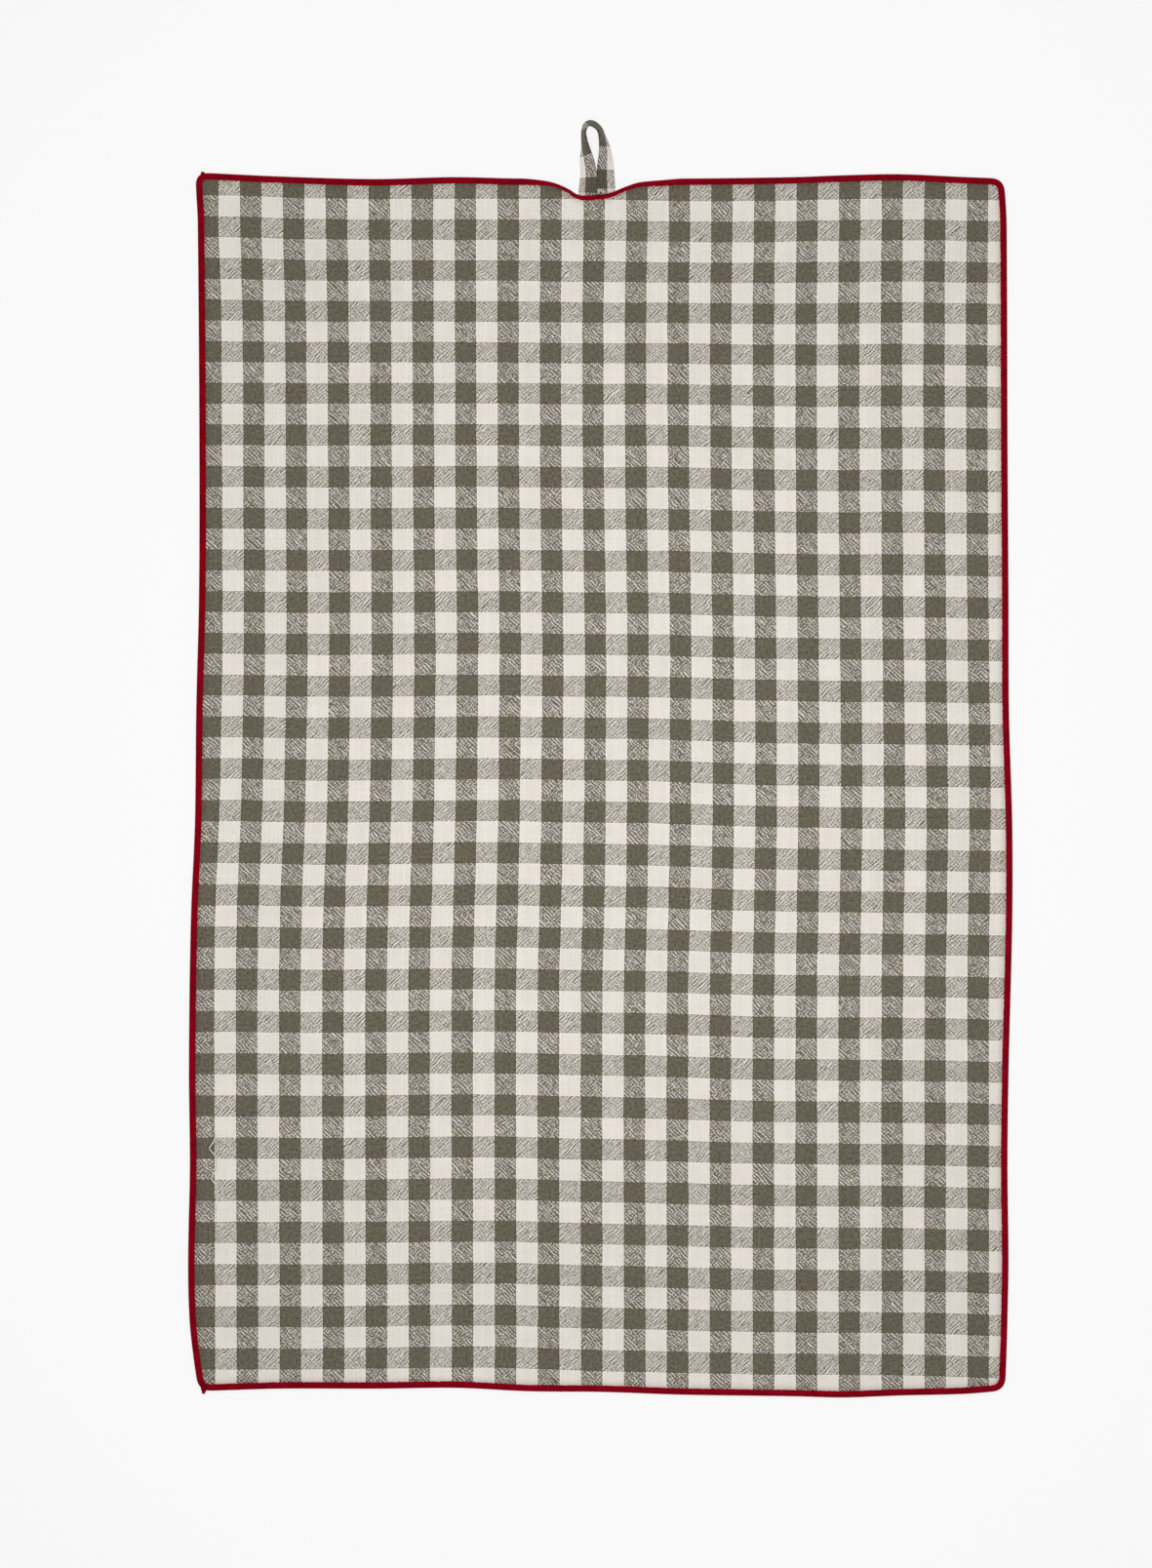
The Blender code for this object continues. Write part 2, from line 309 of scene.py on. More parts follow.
# The tape's section: a narrow edge from its face to the groove between its two layers
TAPE_FACE = 0.72
TAPE_FACE_POINTS = 14
TAPE_EDGE = (
    # half width, half thickness
    (5.2, 0.72),
    (5.47, 0.66),
    (5.64, 0.49),
    (5.70, 0.30),
    (5.62, 0.12),
    (5.45, 0.0),
)

# The tape's mesh: its step along, its least curl in radians a millimetre, its height off the floor and
# how close points are welded
LOOP_PITCH = 0.5
LEAST_CURL = 1e-5
TAPE_CLEARANCE = 0.05
WELD = 0.01

TAPE_COLUMN = 2.0
TAPE_COLUMN_WIDTHS = (
    # along, width
    (0.0, 7.2),
    (44.0, 7.2),
    (54.0, 9.6),
    (60.0, 10.4),
    (68.0, 10.2),
    (74.0, 8.4),
    (80.0, 6.9),
    (127.6, 6.0),
)
TAPE_CHECK = 13.2

# The loose yarns: their end's share of their radius, their points, and their radii, heights and bows
LOOSE_END_SIZE = 0.6
LOOSE_ROUNDNESS = 2
PULLED_POINTS_A_ROW = 8
TUFT_POINTS = 7
TACK_POINTS = 9
THREAD_END_POINTS = 5
PULLED_RADIUS = 0.36
TUFT_RADIUS = 0.12
TUFT_HEIGHT = 0.8
TUFT_BOW = 0.3
TACK_HEIGHT = 2.6
TACK_BOW = 0.5

# The weave, in yarns: how far they rise and fall, how round they are, and which of them show most
YARN_WAVE = 0.5
YARN_ROUND = 0.45
YARN_SHOW = 0.4
COVER_SOFT = 1.2
# Painted shade in the gaps between the yarns and a touch of painted light on their crowns: the tones from
# the lower to the higher of these yarn heights
GAP_HEIGHTS = (-0.5, 0.4)
GAP_SHADE_TONES = (0.80, 1.03)
WARP_GAIN = 0.295
COLUMN_GAIN = 0.255

# The slanting streaks, in yarns: their spacing, drift, strength and patches, how much weaker they are
# where only the row is dark or where all is one colour, and the steps that set one square off from the next
STREAK_PERIOD = 4.2
STREAK_ACROSS = 0.15
STREAK_ALONG = 0.06
STREAK_GAIN = 0.9
STREAK_RANGE = (-0.2, 2.2)
CROSS_GAIN = 0.45
STREAK_DRIFT = 0.25
PATCH_ACROSS = 8.0
PATCH_ALONG = 10.5
PATCH_JUMP = 0.8
PATCH_RANGE = (0.2, 1.8)
SQUARE_STEPS = (3.17, 7.31)
FLOAT_GAIN = 2.1
ROW_STREAKS = 0.45
PLAIN_STREAKS = 0.25

# How uneven the yarns' tone and tint are, and how much their tone changes at a check's lines
TONE_SPREAD = 0.10
# The mottles follow the rise and fall of the yarns' floats: partly random tone from float to float, partly
# painted shade and light along the streaks' relief
DARK_MOTTLE_AND_SHADE = 0.03
LIGHT_MOTTLE_AND_SHADE = 0.01
GRAIN_SCALE = 8.0
DARK_GRAIN = 0.6
LIGHT_GRAIN = 0.06
TINT_SCALE = 3.6
TINT = (0.04, 0.0, -0.06)
COLUMN_TINT = (0.07, 0.0, -0.12)
RIM_START = 0.2
RIM_WIDTH = 1.5
DARK_RIM = 0.17
LIGHT_RIM = 0.06
CLOTH_PATCHES = 0.08
CLOTH_PATCHES_A_METRE = 60.0

# The finishes: how rough, how glossy and how downy they are, and the twist of the threads
CLOTH_ROUGHNESS = 0.9
CLOTH_GLOSS = 0.25
CLOTH_SHEEN = 0.08
SHEEN_ROUGHNESS = 0.6
THREAD_ROUGHNESS = 0.7
RED_GLOSS = 0.02
CREAM_GLOSS = 0.1
RED_TWIST = 10.0
PULLED_TWIST = 60.0
TACK_TWIST = 30.0
TWIST_SLANT = 2.0
# Painted shade in the grooves between a thread's plies: the share of each ply's rise over which it fades,
# and its tone
GROOVE_SHARE = 0.6
GROOVE_SHADE_TONE = 0.7
FUZZ_A_METRE = 3000.0
FUZZ_HEIGHT = 0.6
THREAD_RELIEF = 0.08
THREAD_RELIEF_STRENGTH = 0.8
THREAD_PATCHES = 0.45
THREAD_PATCHES_A_METRE = 160.0
FLOOR_PATCHES = 0.002
FLOOR_PATCHES_A_METRE = 3.0

# Where the nodes stand in their editor
NODES_A_ROW = 10
NODE_WIDE = 200
NODE_TALL = 280
SHADER_PLACE = (2400, 0)
OUTPUT_PLACE = (2700, 0)

# The stage, in metres and degrees. As the view rises between two heights, the horizon's light gives way
# to the sky's.
FLOOR_SIZE = 14.0
FLOOR_HEIGHT = -0.0002
HORIZON_RISE = (0.1, 0.4)
LAMP_PLACE = (-1.3, 1.5, 2.4)
LAMP_BREADTH = 50.0
PANEL_PLACE = (0.0, 0.0, 0.85)
PANEL_WIDTH = 0.25
PANEL_LENGTH = 0.9
CAMERA_PLACE = (-0.0150, -0.0155)
CAMERA_LENS = 85.0
CAMERA_SENSOR = 36.0
CAMERA_REACH = 50.0


def smooth(table, column, at):
    """A table's column at places in its first column, on a smooth curve through the rows."""
    rows = np.array(table, float)
    place, value = rows[:, 0], rows[:, column]
    slope = np.empty(len(place))
    slope[1:-1] = (value[2:] - value[:-2]) / (place[2:] - place[:-2])
    slope[0] = (value[1] - value[0]) / (place[1] - place[0])
    slope[-1] = (value[-1] - value[-2]) / (place[-1] - place[-2])
    at = np.clip(np.asarray(at, float), place[0], place[-1])
    low = np.clip(np.searchsorted(place, at, side="right") - 1, 0, len(place) - 2)
    span = place[low + 1] - place[low]
    t = (at - place[low]) / span
    return (
        (2 * t**3 - 3 * t**2 + 1) * value[low]
        + (t**3 - 2 * t**2 + t) * slope[low] * span
        + (3 * t**2 - 2 * t**3) * value[low + 1]
        + (t**3 - t**2) * slope[low + 1] * span
    )


def fade(distance, full, gone):
    """1 up to the distance full, 0 from the distance gone on, and smooth between them."""
    t = np.clip((np.asarray(distance, float) - full) / (gone - full), 0.0, 1.0)
    return 1.0 - t * t * (3.0 - 2.0 * t)


def between(start, end, t):
    """Places on the way from start, at t = 0, to end, at t = 1."""
    return start + (end - start) * t


def bow(t):
    """A bow over a thread's length: 0 at both ends, t = 0 and t = 1, and 1 halfway."""
    return 4.0 * t * (1.0 - t)


def spread(start, end, pitch):
    """Even places from start to end, no further apart than the pitch."""
    return np.linspace(start, end, math.ceil((end - start) / pitch) + 1)


def frame_shift():
    """The step from the middle of the cut cloth to the frame's origin, found from the loop's low corner."""
    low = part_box("hanging_loop")[0]
    return np.array([low.x / MM - LOOP_LOW_CORNER[0], low.y / MM - LOOP_LOW_CORNER[1]])


def in_frame(plan, height):
    """Points in the frame, in metres, from plan points and heights in millimetres."""
    plan = (np.asarray(plan, float) + frame_shift()) * MM
    height = np.broadcast_to(np.asarray(height, float), plan.shape[:-1]) * MM
    return np.concatenate([plan, height[..., None]], axis=-1)


def plan_points(across, down):
    """Where places on the cloth lie, seen from above."""
    half = CLOTH_WIDTH / 2
    left = -half - smooth(SIDE_EDGES, 1, down)
    right = half + smooth(SIDE_EDGES, 2, down)
    top = CLOTH_LENGTH / 2 + smooth(END_EDGES, 1, across) - smooth(TOP_DIP, 1, across)
    bottom = -CLOTH_LENGTH / 2 - smooth(END_EDGES, 2, across)
    x = left + (right - left) * (across + half) / CLOTH_WIDTH
    y = top + (bottom - top) * down / CLOTH_LENGTH
    return np.stack(np.broadcast_arrays(x, y), axis=-1)


def raise_over_tape(across, down):
    """How far the tape's ends hold the cloth and its edging up."""
    beside = fade(abs(across - LOOP_ACROSS), LOOP_RAISE_HALF_WIDTH, LOOP_RAISE_GONE_ACROSS)
    return TAPE_RAISE * beside * fade(down, LOOP_RAISE_DEPTH, LOOP_RAISE_GONE_DOWN)


def wrinkle(across, down, settings):
    """The height of the small wrinkles that the crisp weave keeps, none of it below 0."""
    height = np.zeros(np.shape(across))
    for number, (length, width, turn) in enumerate(WRINKLES):
        cos, sin = math.cos(math.radians(turn)), math.sin(math.radians(turn))
        along, over = (across * cos + down * sin) / length, (down * cos - across * sin) / width
        places = np.stack([along, over, np.full_like(along, WRINKLE_STEP * number)], axis=-1).reshape(-1, 3)
        height += np.array([noise.noise(place) for place in places]).reshape(height.shape)
    return np.clip(WRINKLE_BASE + height / len(WRINKLES), 0.0, 1.0) * settings.wrinkles / MM


def underside(across, down, settings):
    """The height of the cloth's underside, which is about 0 wherever it lies on the surface."""
    across, down = np.broadcast_arrays(np.asarray(across, float), np.asarray(down, float))
    swell = np.zeros(across.shape)
    for middle_across, middle_down, half_width, half_length, top in SWELLS:
        reach = ((across - middle_across) / half_width) ** 2 + ((down - middle_down) / half_length) ** 2
        swell = np.maximum(swell, top * np.maximum(1.0 - reach, 0.0) ** 2)
    from_side = CLOTH_WIDTH / 2 - abs(across)
    from_end = np.minimum(down, CLOTH_LENGTH - down)
    at_edge = fade(np.minimum(from_side, from_end), EDGE_FLAT, EDGE_DOWN)
    loose = swell + wrinkle(across, down, settings)
    return CLOTH_LIFT_AT_EDGE * at_edge + loose * (1.0 - at_edge) + raise_over_tape(across, down)


def corner_arc(before, corner, after):
    """Points on the curve that rounds a corner off, without its two ends."""
    t = (np.arange(1, CORNER_STEPS) / CORNER_STEPS)[:, None]
    return before * (1 - t) ** 2 + corner * 2 * t * (1 - t) + after * t * t


def grid_places():
    """The places across and down of the cloth's grid lines."""
    half = CLOTH_WIDTH / 2
    across = np.r_[-half, spread(EDGE_FLAT - half, half - EDGE_FLAT, CLOTH_PITCH), half]
    down = np.r_[0.0, spread(EDGE_FLAT, CLOTH_LENGTH - EDGE_FLAT, CLOTH_PITCH), CLOTH_LENGTH]
    return across, down


def outline():
    """The towel's outline, clockwise from the left side's lower end, in four sides and four corners.

    Each stretch is (points, places across, places down), from the grid's inner places.
    """
    half = CLOTH_WIDTH / 2
    across, down = (places[1:-1] for places in grid_places())
    sides = (
        (np.full(len(down), -half), down[::-1]),
        (across, np.zeros(len(across))),
        (np.full(len(down), half), down),
        (across[::-1], np.full(len(across), CLOTH_LENGTH)),
    )
    corners = ((-half, 0.0), (half, 0.0), (half, CLOTH_LENGTH), (-half, CLOTH_LENGTH))
    points = [plan_points(*side) for side in sides]
    stretches = []
    for number, corner in enumerate(corners):
        stretches.append((points[number], *sides[number]))
        arc = corner_arc(points[number][-1], plan_points(*corner), points[(number + 1) % 4][0])
        stretches.append((arc, np.full(len(arc), corner[0]), np.full(len(arc), corner[1])))
    return stretches


def outward(points):
    """At each point of a closed clockwise outline, the step that moves its sides 1 mm outwards."""
    ahead = np.roll(points, -1, axis=0) - points
    ahead /= np.linalg.norm(ahead, axis=1)[:, None]
    after = np.stack([-ahead[:, 1], ahead[:, 0]], axis=1)
    before = np.roll(after, 1, axis=0)
    return (before + after) / (1.0 + (before * after).sum(axis=1))[:, None]


def check_map(points):
    """The check's column and row coordinates at plan points, whole at its lines."""
    x, down = points[..., 0], CLOTH_LENGTH / 2 - points[..., 1]
    return np.stack(
        [
            line_numbers(COLUMN_LINES, COLUMN_NUMBERS, down, x),
            line_numbers(ROW_LINES, ROW_NUMBERS, x, down),
        ],
        axis=-1,
    )


def line_numbers(table, numbers, along, place):
    """Where places lie between a table's lines, counted in lines, from their distance along them."""
    lines = [smooth(table, column + 1, along) for column in range(len(numbers))]
    counted = np.full(np.shape(place), np.nan)
    for part in range(len(numbers) - 1):
        near, far = lines[part], lines[part + 1]
        here = numbers[part] + (numbers[part + 1] - numbers[part]) * (place - near) / (far - near)
        counted = np.where((place >= near) | (part == 0), here, counted)
    return counted


def path_lengths(points):
    """The distance along a path at each of its points."""
    steps = np.linalg.norm(np.diff(points, axis=0), axis=1)
    return np.concatenate([[0.0], np.cumsum(steps)])


def select_only(piece):
    """Makes a piece the active one, with nothing else selected."""
    bpy.ops.object.select_all(action="DESELECT")
    piece.select_set(True)
    bpy.context.view_layer.objects.active = piece


def vertex_places(mesh):
    """A mesh's vertices as an array of points."""
    places = np.empty(len(mesh.vertices) * 3, np.float32)
    mesh.vertices.foreach_get("co", places)
    return places.reshape(-1, 3).astype(float)


def move_vertices(mesh, places):
    """Moves a mesh's vertices to an array of points."""
    mesh.vertices.foreach_set("co", np.asarray(places, np.float32).reshape(-1))
    mesh.update()


def set_map(mesh, name, values):
    """Gives a mesh a UV map from two numbers for each vertex."""
    corners = np.empty(len(mesh.loops), np.int32)
    mesh.loops.foreach_get("vertex_index", corners)
    layer = mesh.uv_layers.new(name=name)
    layer.data.foreach_set("uv", np.asarray(values, np.float32)[corners].reshape(-1))


def apply_modifier(piece, kind, **settings):
    """Adds a modifier to a piece and applies it."""
    modifier = piece.modifiers.new(kind.title(), kind)
    for name, value in settings.items():
        setattr(modifier, name, value)
    select_only(piece)
    bpy.ops.object.modifier_apply(modifier=modifier.name)


def add_grid(name, columns, rows):
    """A flat grid, the start of a sheet or strap, and the column and row of each of its vertices."""
    bpy.ops.object.select_all(action="DESELECT")
    bpy.ops.mesh.primitive_grid_add(x_subdivisions=columns, y_subdivisions=rows, size=1.0, calc_uvs=False)
    piece = bpy.context.object
    piece.name = piece.data.name = name
    places = vertex_places(piece.data)
    column = np.rint((places[:, 0] + 0.5) * columns).astype(int)
    row = np.rint((places[:, 1] + 0.5) * rows).astype(int)
    return piece, column, row


def finish_piece(piece, finish, slot, nodes=()):
    """Gives a finished mesh its material, body and slot, and hides the model's nodes that it stands for."""
    piece.data.materials.clear()
    piece.data.materials.append(finish)
    piece.data.shade_smooth()
    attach(piece, BODY)
    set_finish(piece, slot)
    if nodes:
        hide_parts(*nodes)
    return piece


def add_path(name, points):
    """A curve through points in metres, for a row of stitches to follow."""
    curve = bpy.data.curves.new(name, "CURVE")
    curve.dimensions = "3D"
    curve.twist_mode = "Z_UP"
    spline = curve.splines.new("POLY")
    spline.points.add(len(points) - 1)
    spline.points.foreach_set("co", np.c_[points, np.ones(len(points))].reshape(-1))
    path = bpy.data.objects.new(name, curve)
    bpy.context.collection.objects.link(path)
    return path


def add_thread(name, lines, radius):
    """Round threads along lines of points in metres, as one mesh, thinner at each thread's ends."""
    curve = bpy.data.curves.new(name, "CURVE")
    curve.dimensions = "3D"
    curve.bevel_depth = radius
    curve.bevel_resolution = LOOSE_ROUNDNESS
    curve.use_fill_caps = True
    for points in lines:
        spline = curve.splines.new("POLY")
        spline.points.add(len(points) - 1)
        for number, (point, place) in enumerate(zip(spline.points, points)):
            point.co = (*place, 1.0)
            point.radius = LOOSE_END_SIZE if number in (0, len(points) - 1) else 1.0
    piece = bpy.data.objects.new(name, curve)
    bpy.context.collection.objects.link(piece)
    select_only(piece)
    bpy.ops.object.convert(target="MESH")
    return bpy.context.object


def add_cloth(settings):
    """The cloth as a grid on its underside, its border held inside the edging, thickened upwards."""
    across, down = grid_places()
    piece, column, row = add_grid("woven_cloth", len(across) - 1, len(down) - 1)
    row = len(down) - 1 - row
    plan = plan_points(across[:, None], down[None, :])
    points, at_across, at_down = (np.concatenate(parts) for parts in zip(*outline()))
    held = points - outward(points) * CLOTH_INSET
    for i, place in enumerate(across):
        for j in (0, -1) if 0 < i < len(across) - 1 else range(len(down)):
            here = held[(at_across == place) & (at_down == down[j])]
            plan[i, j] = here[len(here) // 2]
    height = underside(across[:, None], down[None, :], settings)
    move_vertices(piece.data, in_frame(plan, height)[column, row])
    set_map(piece.data, "checks", check_map(plan)[column, row] + map_waver(plan[column, row]))
    apply_modifier(piece, "SOLIDIFY", thickness=settings.cloth_thickness, offset=1.0)
    return piece


def map_waver(plan):
    """How far the check's lines wander from their smooth course, in checks."""
    places = np.c_[plan / WAVER_LENGTH, np.zeros(len(plan))]
    over = [noise.noise(place) for place in places]
    along = [noise.noise(place + np.array([0.0, 0.0, WAVER_STEP])) for place in places]
    return np.c_[over, along] * WAVER


def add_stitches(name, path, share, taper, settings, rng):
    """Overlock stitches along a path in metres, each a closed ring of thread round the cloth's edge.

    Share narrows each stitch towards its outer edge, and taper shrinks it towards the path.
    """
    length = path_lengths(path)
    count = max(round(length[-1] / settings.stitch_pitch), 2)
    pitch = length[-1] / count
    thread = settings.thread_width / 2
    bpy.ops.object.select_all(action="DESELECT")
    bpy.ops.mesh.primitive_torus_add(
        major_segments=STITCH_FACES[0],
        minor_segments=STITCH_FACES[1],
        major_radius=EDGING_WIDTH * MM / 2 - thread,
        minor_radius=thread,
        rotation=(0.0, math.pi / 2, 0.0),
        generate_uvs=True,
    )
    piece = bpy.context.object
    piece.name = piece.data.name = name
    bpy.ops.object.transform_apply(location=True, rotation=True, scale=True)
    bpy.ops.object.mode_set(mode="EDIT")
    bpy.ops.mesh.select_all(action="SELECT")
    bpy.ops.transform.resize(
        value=(settings.thread_spread, 1.0, EDGING_HEIGHT / EDGING_WIDTH), center_override=(0.0, 0.0, 0.0)
    )
    bpy.ops.transform.rotate(
        value=math.radians(STITCH_SLANT), orient_axis="Z", center_override=(0.0, 0.0, 0.0)
    )
    bpy.ops.object.mode_set(mode="OBJECT")
    apply_modifier(
        piece,
        "ARRAY",
        fit_type="FIXED_COUNT",
        count=count,
        use_relative_offset=False,
        use_constant_offset=True,
        constant_offset_displace=(pitch, 0.0, 0.0),
    )
    rows = vertex_places(piece.data).reshape(count, -1, 3)
    middles = (np.arange(count) + 0.5) * pitch
    outer = EDGING_WIDTH * MM / 2
    kept = np.interp(middles, length, share) + rng.normal(0.0, STITCH_UNEVEN, count)
    shrunk = np.interp(middles, length, taper)
    rows[:, :, 0] += (pitch / 2 + rng.normal(0.0, STITCH_SHIFT * pitch, count))[:, None]
    rows[:, :, 1] = outer - (outer - rows[:, :, 1]) * kept[:, None]
    rows[:, :, 1:] *= shrunk[:, None, None]
    rows[:, :, 2] *= (1.0 + rng.normal(0.0, STITCH_RISE, count))[:, None]
    move_vertices(piece.data, rows)
    guide = add_path(name + "_path", path)
    apply_modifier(piece, "CURVE", object=guide, deform_axis="POS_X")
    bpy.data.objects.remove(guide, do_unlink=True)
    return piece


def edging_runs():
    """Each run's name, path in metres and share of the full width along it."""
    stretches = outline()
    points, at_across, at_down = (np.concatenate(parts) for parts in zip(*stretches))
    middle = points - outward(points) * (EDGING_WIDTH / 2 - EDGING_OUT)
    height = EDGING_MIDDLE + raise_over_tape(at_across, at_down)
    path = in_frame(middle, height)
    share = np.where(at_down == 0.0, smooth(TOP_DIP, 2, at_across), 1.0)
    starts = np.cumsum([0] + [len(stretch[0]) for stretch in stretches])
    ends = {
        "edging_left": (starts[0], starts[1] - 1),
        "edging_top": (starts[1] - 1, starts[4]),
        "edging_right": (starts[4], starts[5] - 1),
        "edging_bottom": (starts[5] - 1, len(points)),
    }
    for name, (first, last) in ends.items():
        run = np.arange(first, last + 1) % len(points)
        yield name, path[run], share[run]


def tape_section():
    """The tape's section as (towards its inner edge, away from its hidden face, distance round it)."""
    side = list(TAPE_EDGE)
    face = [(wide, TAPE_FACE) for wide in np.linspace(TAPE_EDGE[0][0], -TAPE_EDGE[0][0], TAPE_FACE_POINTS)]
    inner = [(wide, -thick) for wide, thick in side[:-1]] + side[::-1]
    outer = [(-wide, thick) for wide, thick in side] + [(-wide, -thick) for wide, thick in side[-2::-1]]
    ring = np.array([(0.0, -TAPE_FACE)] + inner + face[1:-1] + outer + [(0.0, -TAPE_FACE)])
    around = path_lengths(ring)
    return ring[:, 0], ring[:, 1], around - around[len(inner) - 1]


def add_hanging_loop():
    """The folded tape, flat at both ends and curled up on its outer edge round the top of the loop."""
    route = np.array(LOOP_ROUTE)
    along = path_lengths(route[:, :2])
    table = np.c_[along, route]
    count = round(along[-1] / LOOP_PITCH)
    at = np.linspace(0.0, along[-1], count + 1)
    middle = np.c_[smooth(table, 1, at), smooth(table, 2, at)]
    ahead = np.gradient(middle, axis=0)
    ahead /= np.linalg.norm(ahead, axis=1)[:, None]
    inward = np.c_[ahead[:, 1], -ahead[:, 0]]
    wide, thick, around = tape_section()
    turn = np.radians(smooth(table, 3, at))[:, None]
    curl = np.radians(smooth(table, 4, at))[:, None] / (TAPE_WIDTH / 2)
    curl = np.where(abs(curl) < LEAST_CURL, LEAST_CURL, curl)
    tilt = turn - curl * wide
    over = (np.sin(turn) - np.sin(tilt)) / curl - thick * np.sin(tilt)
    up = (np.cos(tilt) - np.cos(turn)) / curl + thick * np.cos(tilt)
    over -= (over.max(axis=1) + over.min(axis=1))[:, None] / 2
    up += TAPE_CLEARANCE - up.min(axis=1)[:, None]
    base = np.array([LOOP_ACROSS, CLOTH_LENGTH / 2 - LOOP_BELOW_TOP])
    plan = base + middle[:, None, :] + inward[:, None, :] * over[:, :, None]
    piece, column, row = add_grid("folded_tape", len(wide) - 1, count)
    move_vertices(piece.data, in_frame(plan, up)[row, column])
    checks = np.empty((count + 1, len(wide), 2))
    dark_width = smooth(TAPE_COLUMN_WIDTHS, 1, at)[:, None]
    checks[:, :, 0] = TAPE_COLUMN + (around - dark_width) / TAPE_CHECK
    checks[:, :, 1] = smooth(LOOP_CHECKS, 1, at)[:, None]
    set_map(piece.data, "checks", checks[row, column])
    select_only(piece)
    bpy.ops.object.mode_set(mode="EDIT")
    bpy.ops.mesh.select_all(action="SELECT")
    bpy.ops.mesh.remove_doubles(threshold=WELD * MM)
    bpy.ops.mesh.fill_holes(sides=0)
    bpy.ops.mesh.select_all(action="SELECT")
    bpy.ops.mesh.normals_make_consistent(inside=False)
    bpy.ops.object.mode_set(mode="OBJECT")
    return piece


def on_cloth(across, down, above, settings):
    """Points in metres at heights above the cloth's upper face, from millimetres across and down."""
    across, down, above = (np.asarray(values, float) for values in (across, down, above))
    plan = np.stack([across, CLOTH_LENGTH / 2 - down], axis=-1)
    height = underside(across, down, settings) + settings.cloth_thickness / MM + above
    return in_frame(plan, height)


class Wiring:
    """Places nodes in a tree and joins them. An input is fed by a socket or by a plain value."""

    def __init__(self, tree):
        self.tree = tree
        self.placed = 0

    def add(self, kind, inputs=None, **settings):
        node = self.tree.nodes.new(kind)
        row, place = divmod(self.placed, NODES_A_ROW)
        node.location = (place * NODE_WIDE, -row * NODE_TALL)
        self.placed += 1
        for name, value in settings.items():
            setattr(node, name, value)
        for name, value in (inputs or {}).items():
            self.feed(node.inputs[name], value)
        return node

    def feed(self, socket, value):
        if isinstance(value, bpy.types.NodeSocket):
            self.tree.links.new(value, socket)
        else:
            socket.default_value = value

    def math(self, operation, *values):
        node = self.add("ShaderNodeMath", operation=operation)
        for socket, value in zip(node.inputs, values):
            self.feed(socket, value)
        return node.outputs[0]

    def vector(self, x, y, z=0.0):
        return self.add("ShaderNodeCombineXYZ", {"X": x, "Y": y, "Z": z}).outputs[0]

    def noise(self, vector, scale, detail=0.0, dimensions="3D", output="Fac"):
        node = self.add(
            "ShaderNodeTexNoise",
            {"Vector": vector, "Scale": scale, "Detail": detail},
            noise_dimensions=dimensions,
        )
        return node.outputs[output]

    def random(self, dimensions, **inputs):
        return self.add("ShaderNodeTexWhiteNoise", inputs, noise_dimensions=dimensions).outputs

    def shade(self, colour, *tones):
        node = self.add("ShaderNodeVectorMath", {0: colour, 1: self.vector(*tones)}, operation="MULTIPLY")
        return node.outputs[0]

    def blend(self, factor, first, second, kind="MIX"):
        node = self.add("ShaderNodeMix", data_type="RGBA", blend_type=kind)
        for number, value in ((0, factor), (6, first), (7, second)):
            self.feed(node.inputs[number], value)
        return node.outputs[2]

    def ramp(self, value, low, high, to_low=0.0, to_high=1.0):
        node = self.add(
            "ShaderNodeMapRange",
            {
                "Value": value,
                "From Min": low,
                "From Max": high,
                "To Min": to_low,
                "To Max": to_high,
            },
            interpolation_type="SMOOTHSTEP",
        )
        return node.outputs["Result"]


def new_group(name, inputs, outputs):
    """A shader node group with named sockets, its wiring, its given sockets and its result node."""
    tree = bpy.data.node_groups.new(name, "ShaderNodeTree")
    for label, kind, default in inputs:
        socket = tree.interface.new_socket(name=label, in_out="INPUT", socket_type="NodeSocket" + kind)
        if default is not None:
            socket.default_value = default
    for label, kind in outputs:
        tree.interface.new_socket(name=label, in_out="OUTPUT", socket_type="NodeSocket" + kind)
    wire = Wiring(tree)
    given = wire.add("NodeGroupInput").outputs
    return tree, wire, given, wire.add("NodeGroupOutput").inputs


def streak_wave(wire, place, drift, patch):
    """A wave over the streaks whose phase wanders with a drift and jumps with a patch, both from 0 to 1."""
    phase = wire.math("MULTIPLY_ADD", drift, 2.0 * STREAK_DRIFT, wire.math("MULTIPLY", patch, PATCH_JUMP))
    turns = wire.math("MULTIPLY_ADD", place, 1.0 / STREAK_PERIOD, phase)
    return wire.math("SINE", wire.math("MULTIPLY", turns, 2.0 * math.pi))


def check_rim(wire, place, yarns, dark):
    """The tone of a check's outermost yarns, which pull tight: dark ones darker and light ones lighter."""
    from_line = wire.math("MULTIPLY", wire.math("PINGPONG", place, 0.5), yarns)
    rim = wire.ramp(from_line, RIM_START, RIM_WIDTH, 1.0, 0.0)
    change = wire.math("MULTIPLY_ADD", dark, -DARK_RIM - LIGHT_RIM, LIGHT_RIM)
    return wire.math("MULTIPLY_ADD", rim, change, 1.0)


def soft_noise(wire, place, scale):
    """Soft noise over the checks, about 0 and mostly between -0.5 and 0.5."""
    scaled = wire.add("ShaderNodeVectorMath", {0: place, "Scale": scale}, operation="SCALE").outputs[0]
    return wire.math("MULTIPLY_ADD", wire.noise(scaled, 1.0, 1.0, dimensions="2D"), 2.0, -1.0)


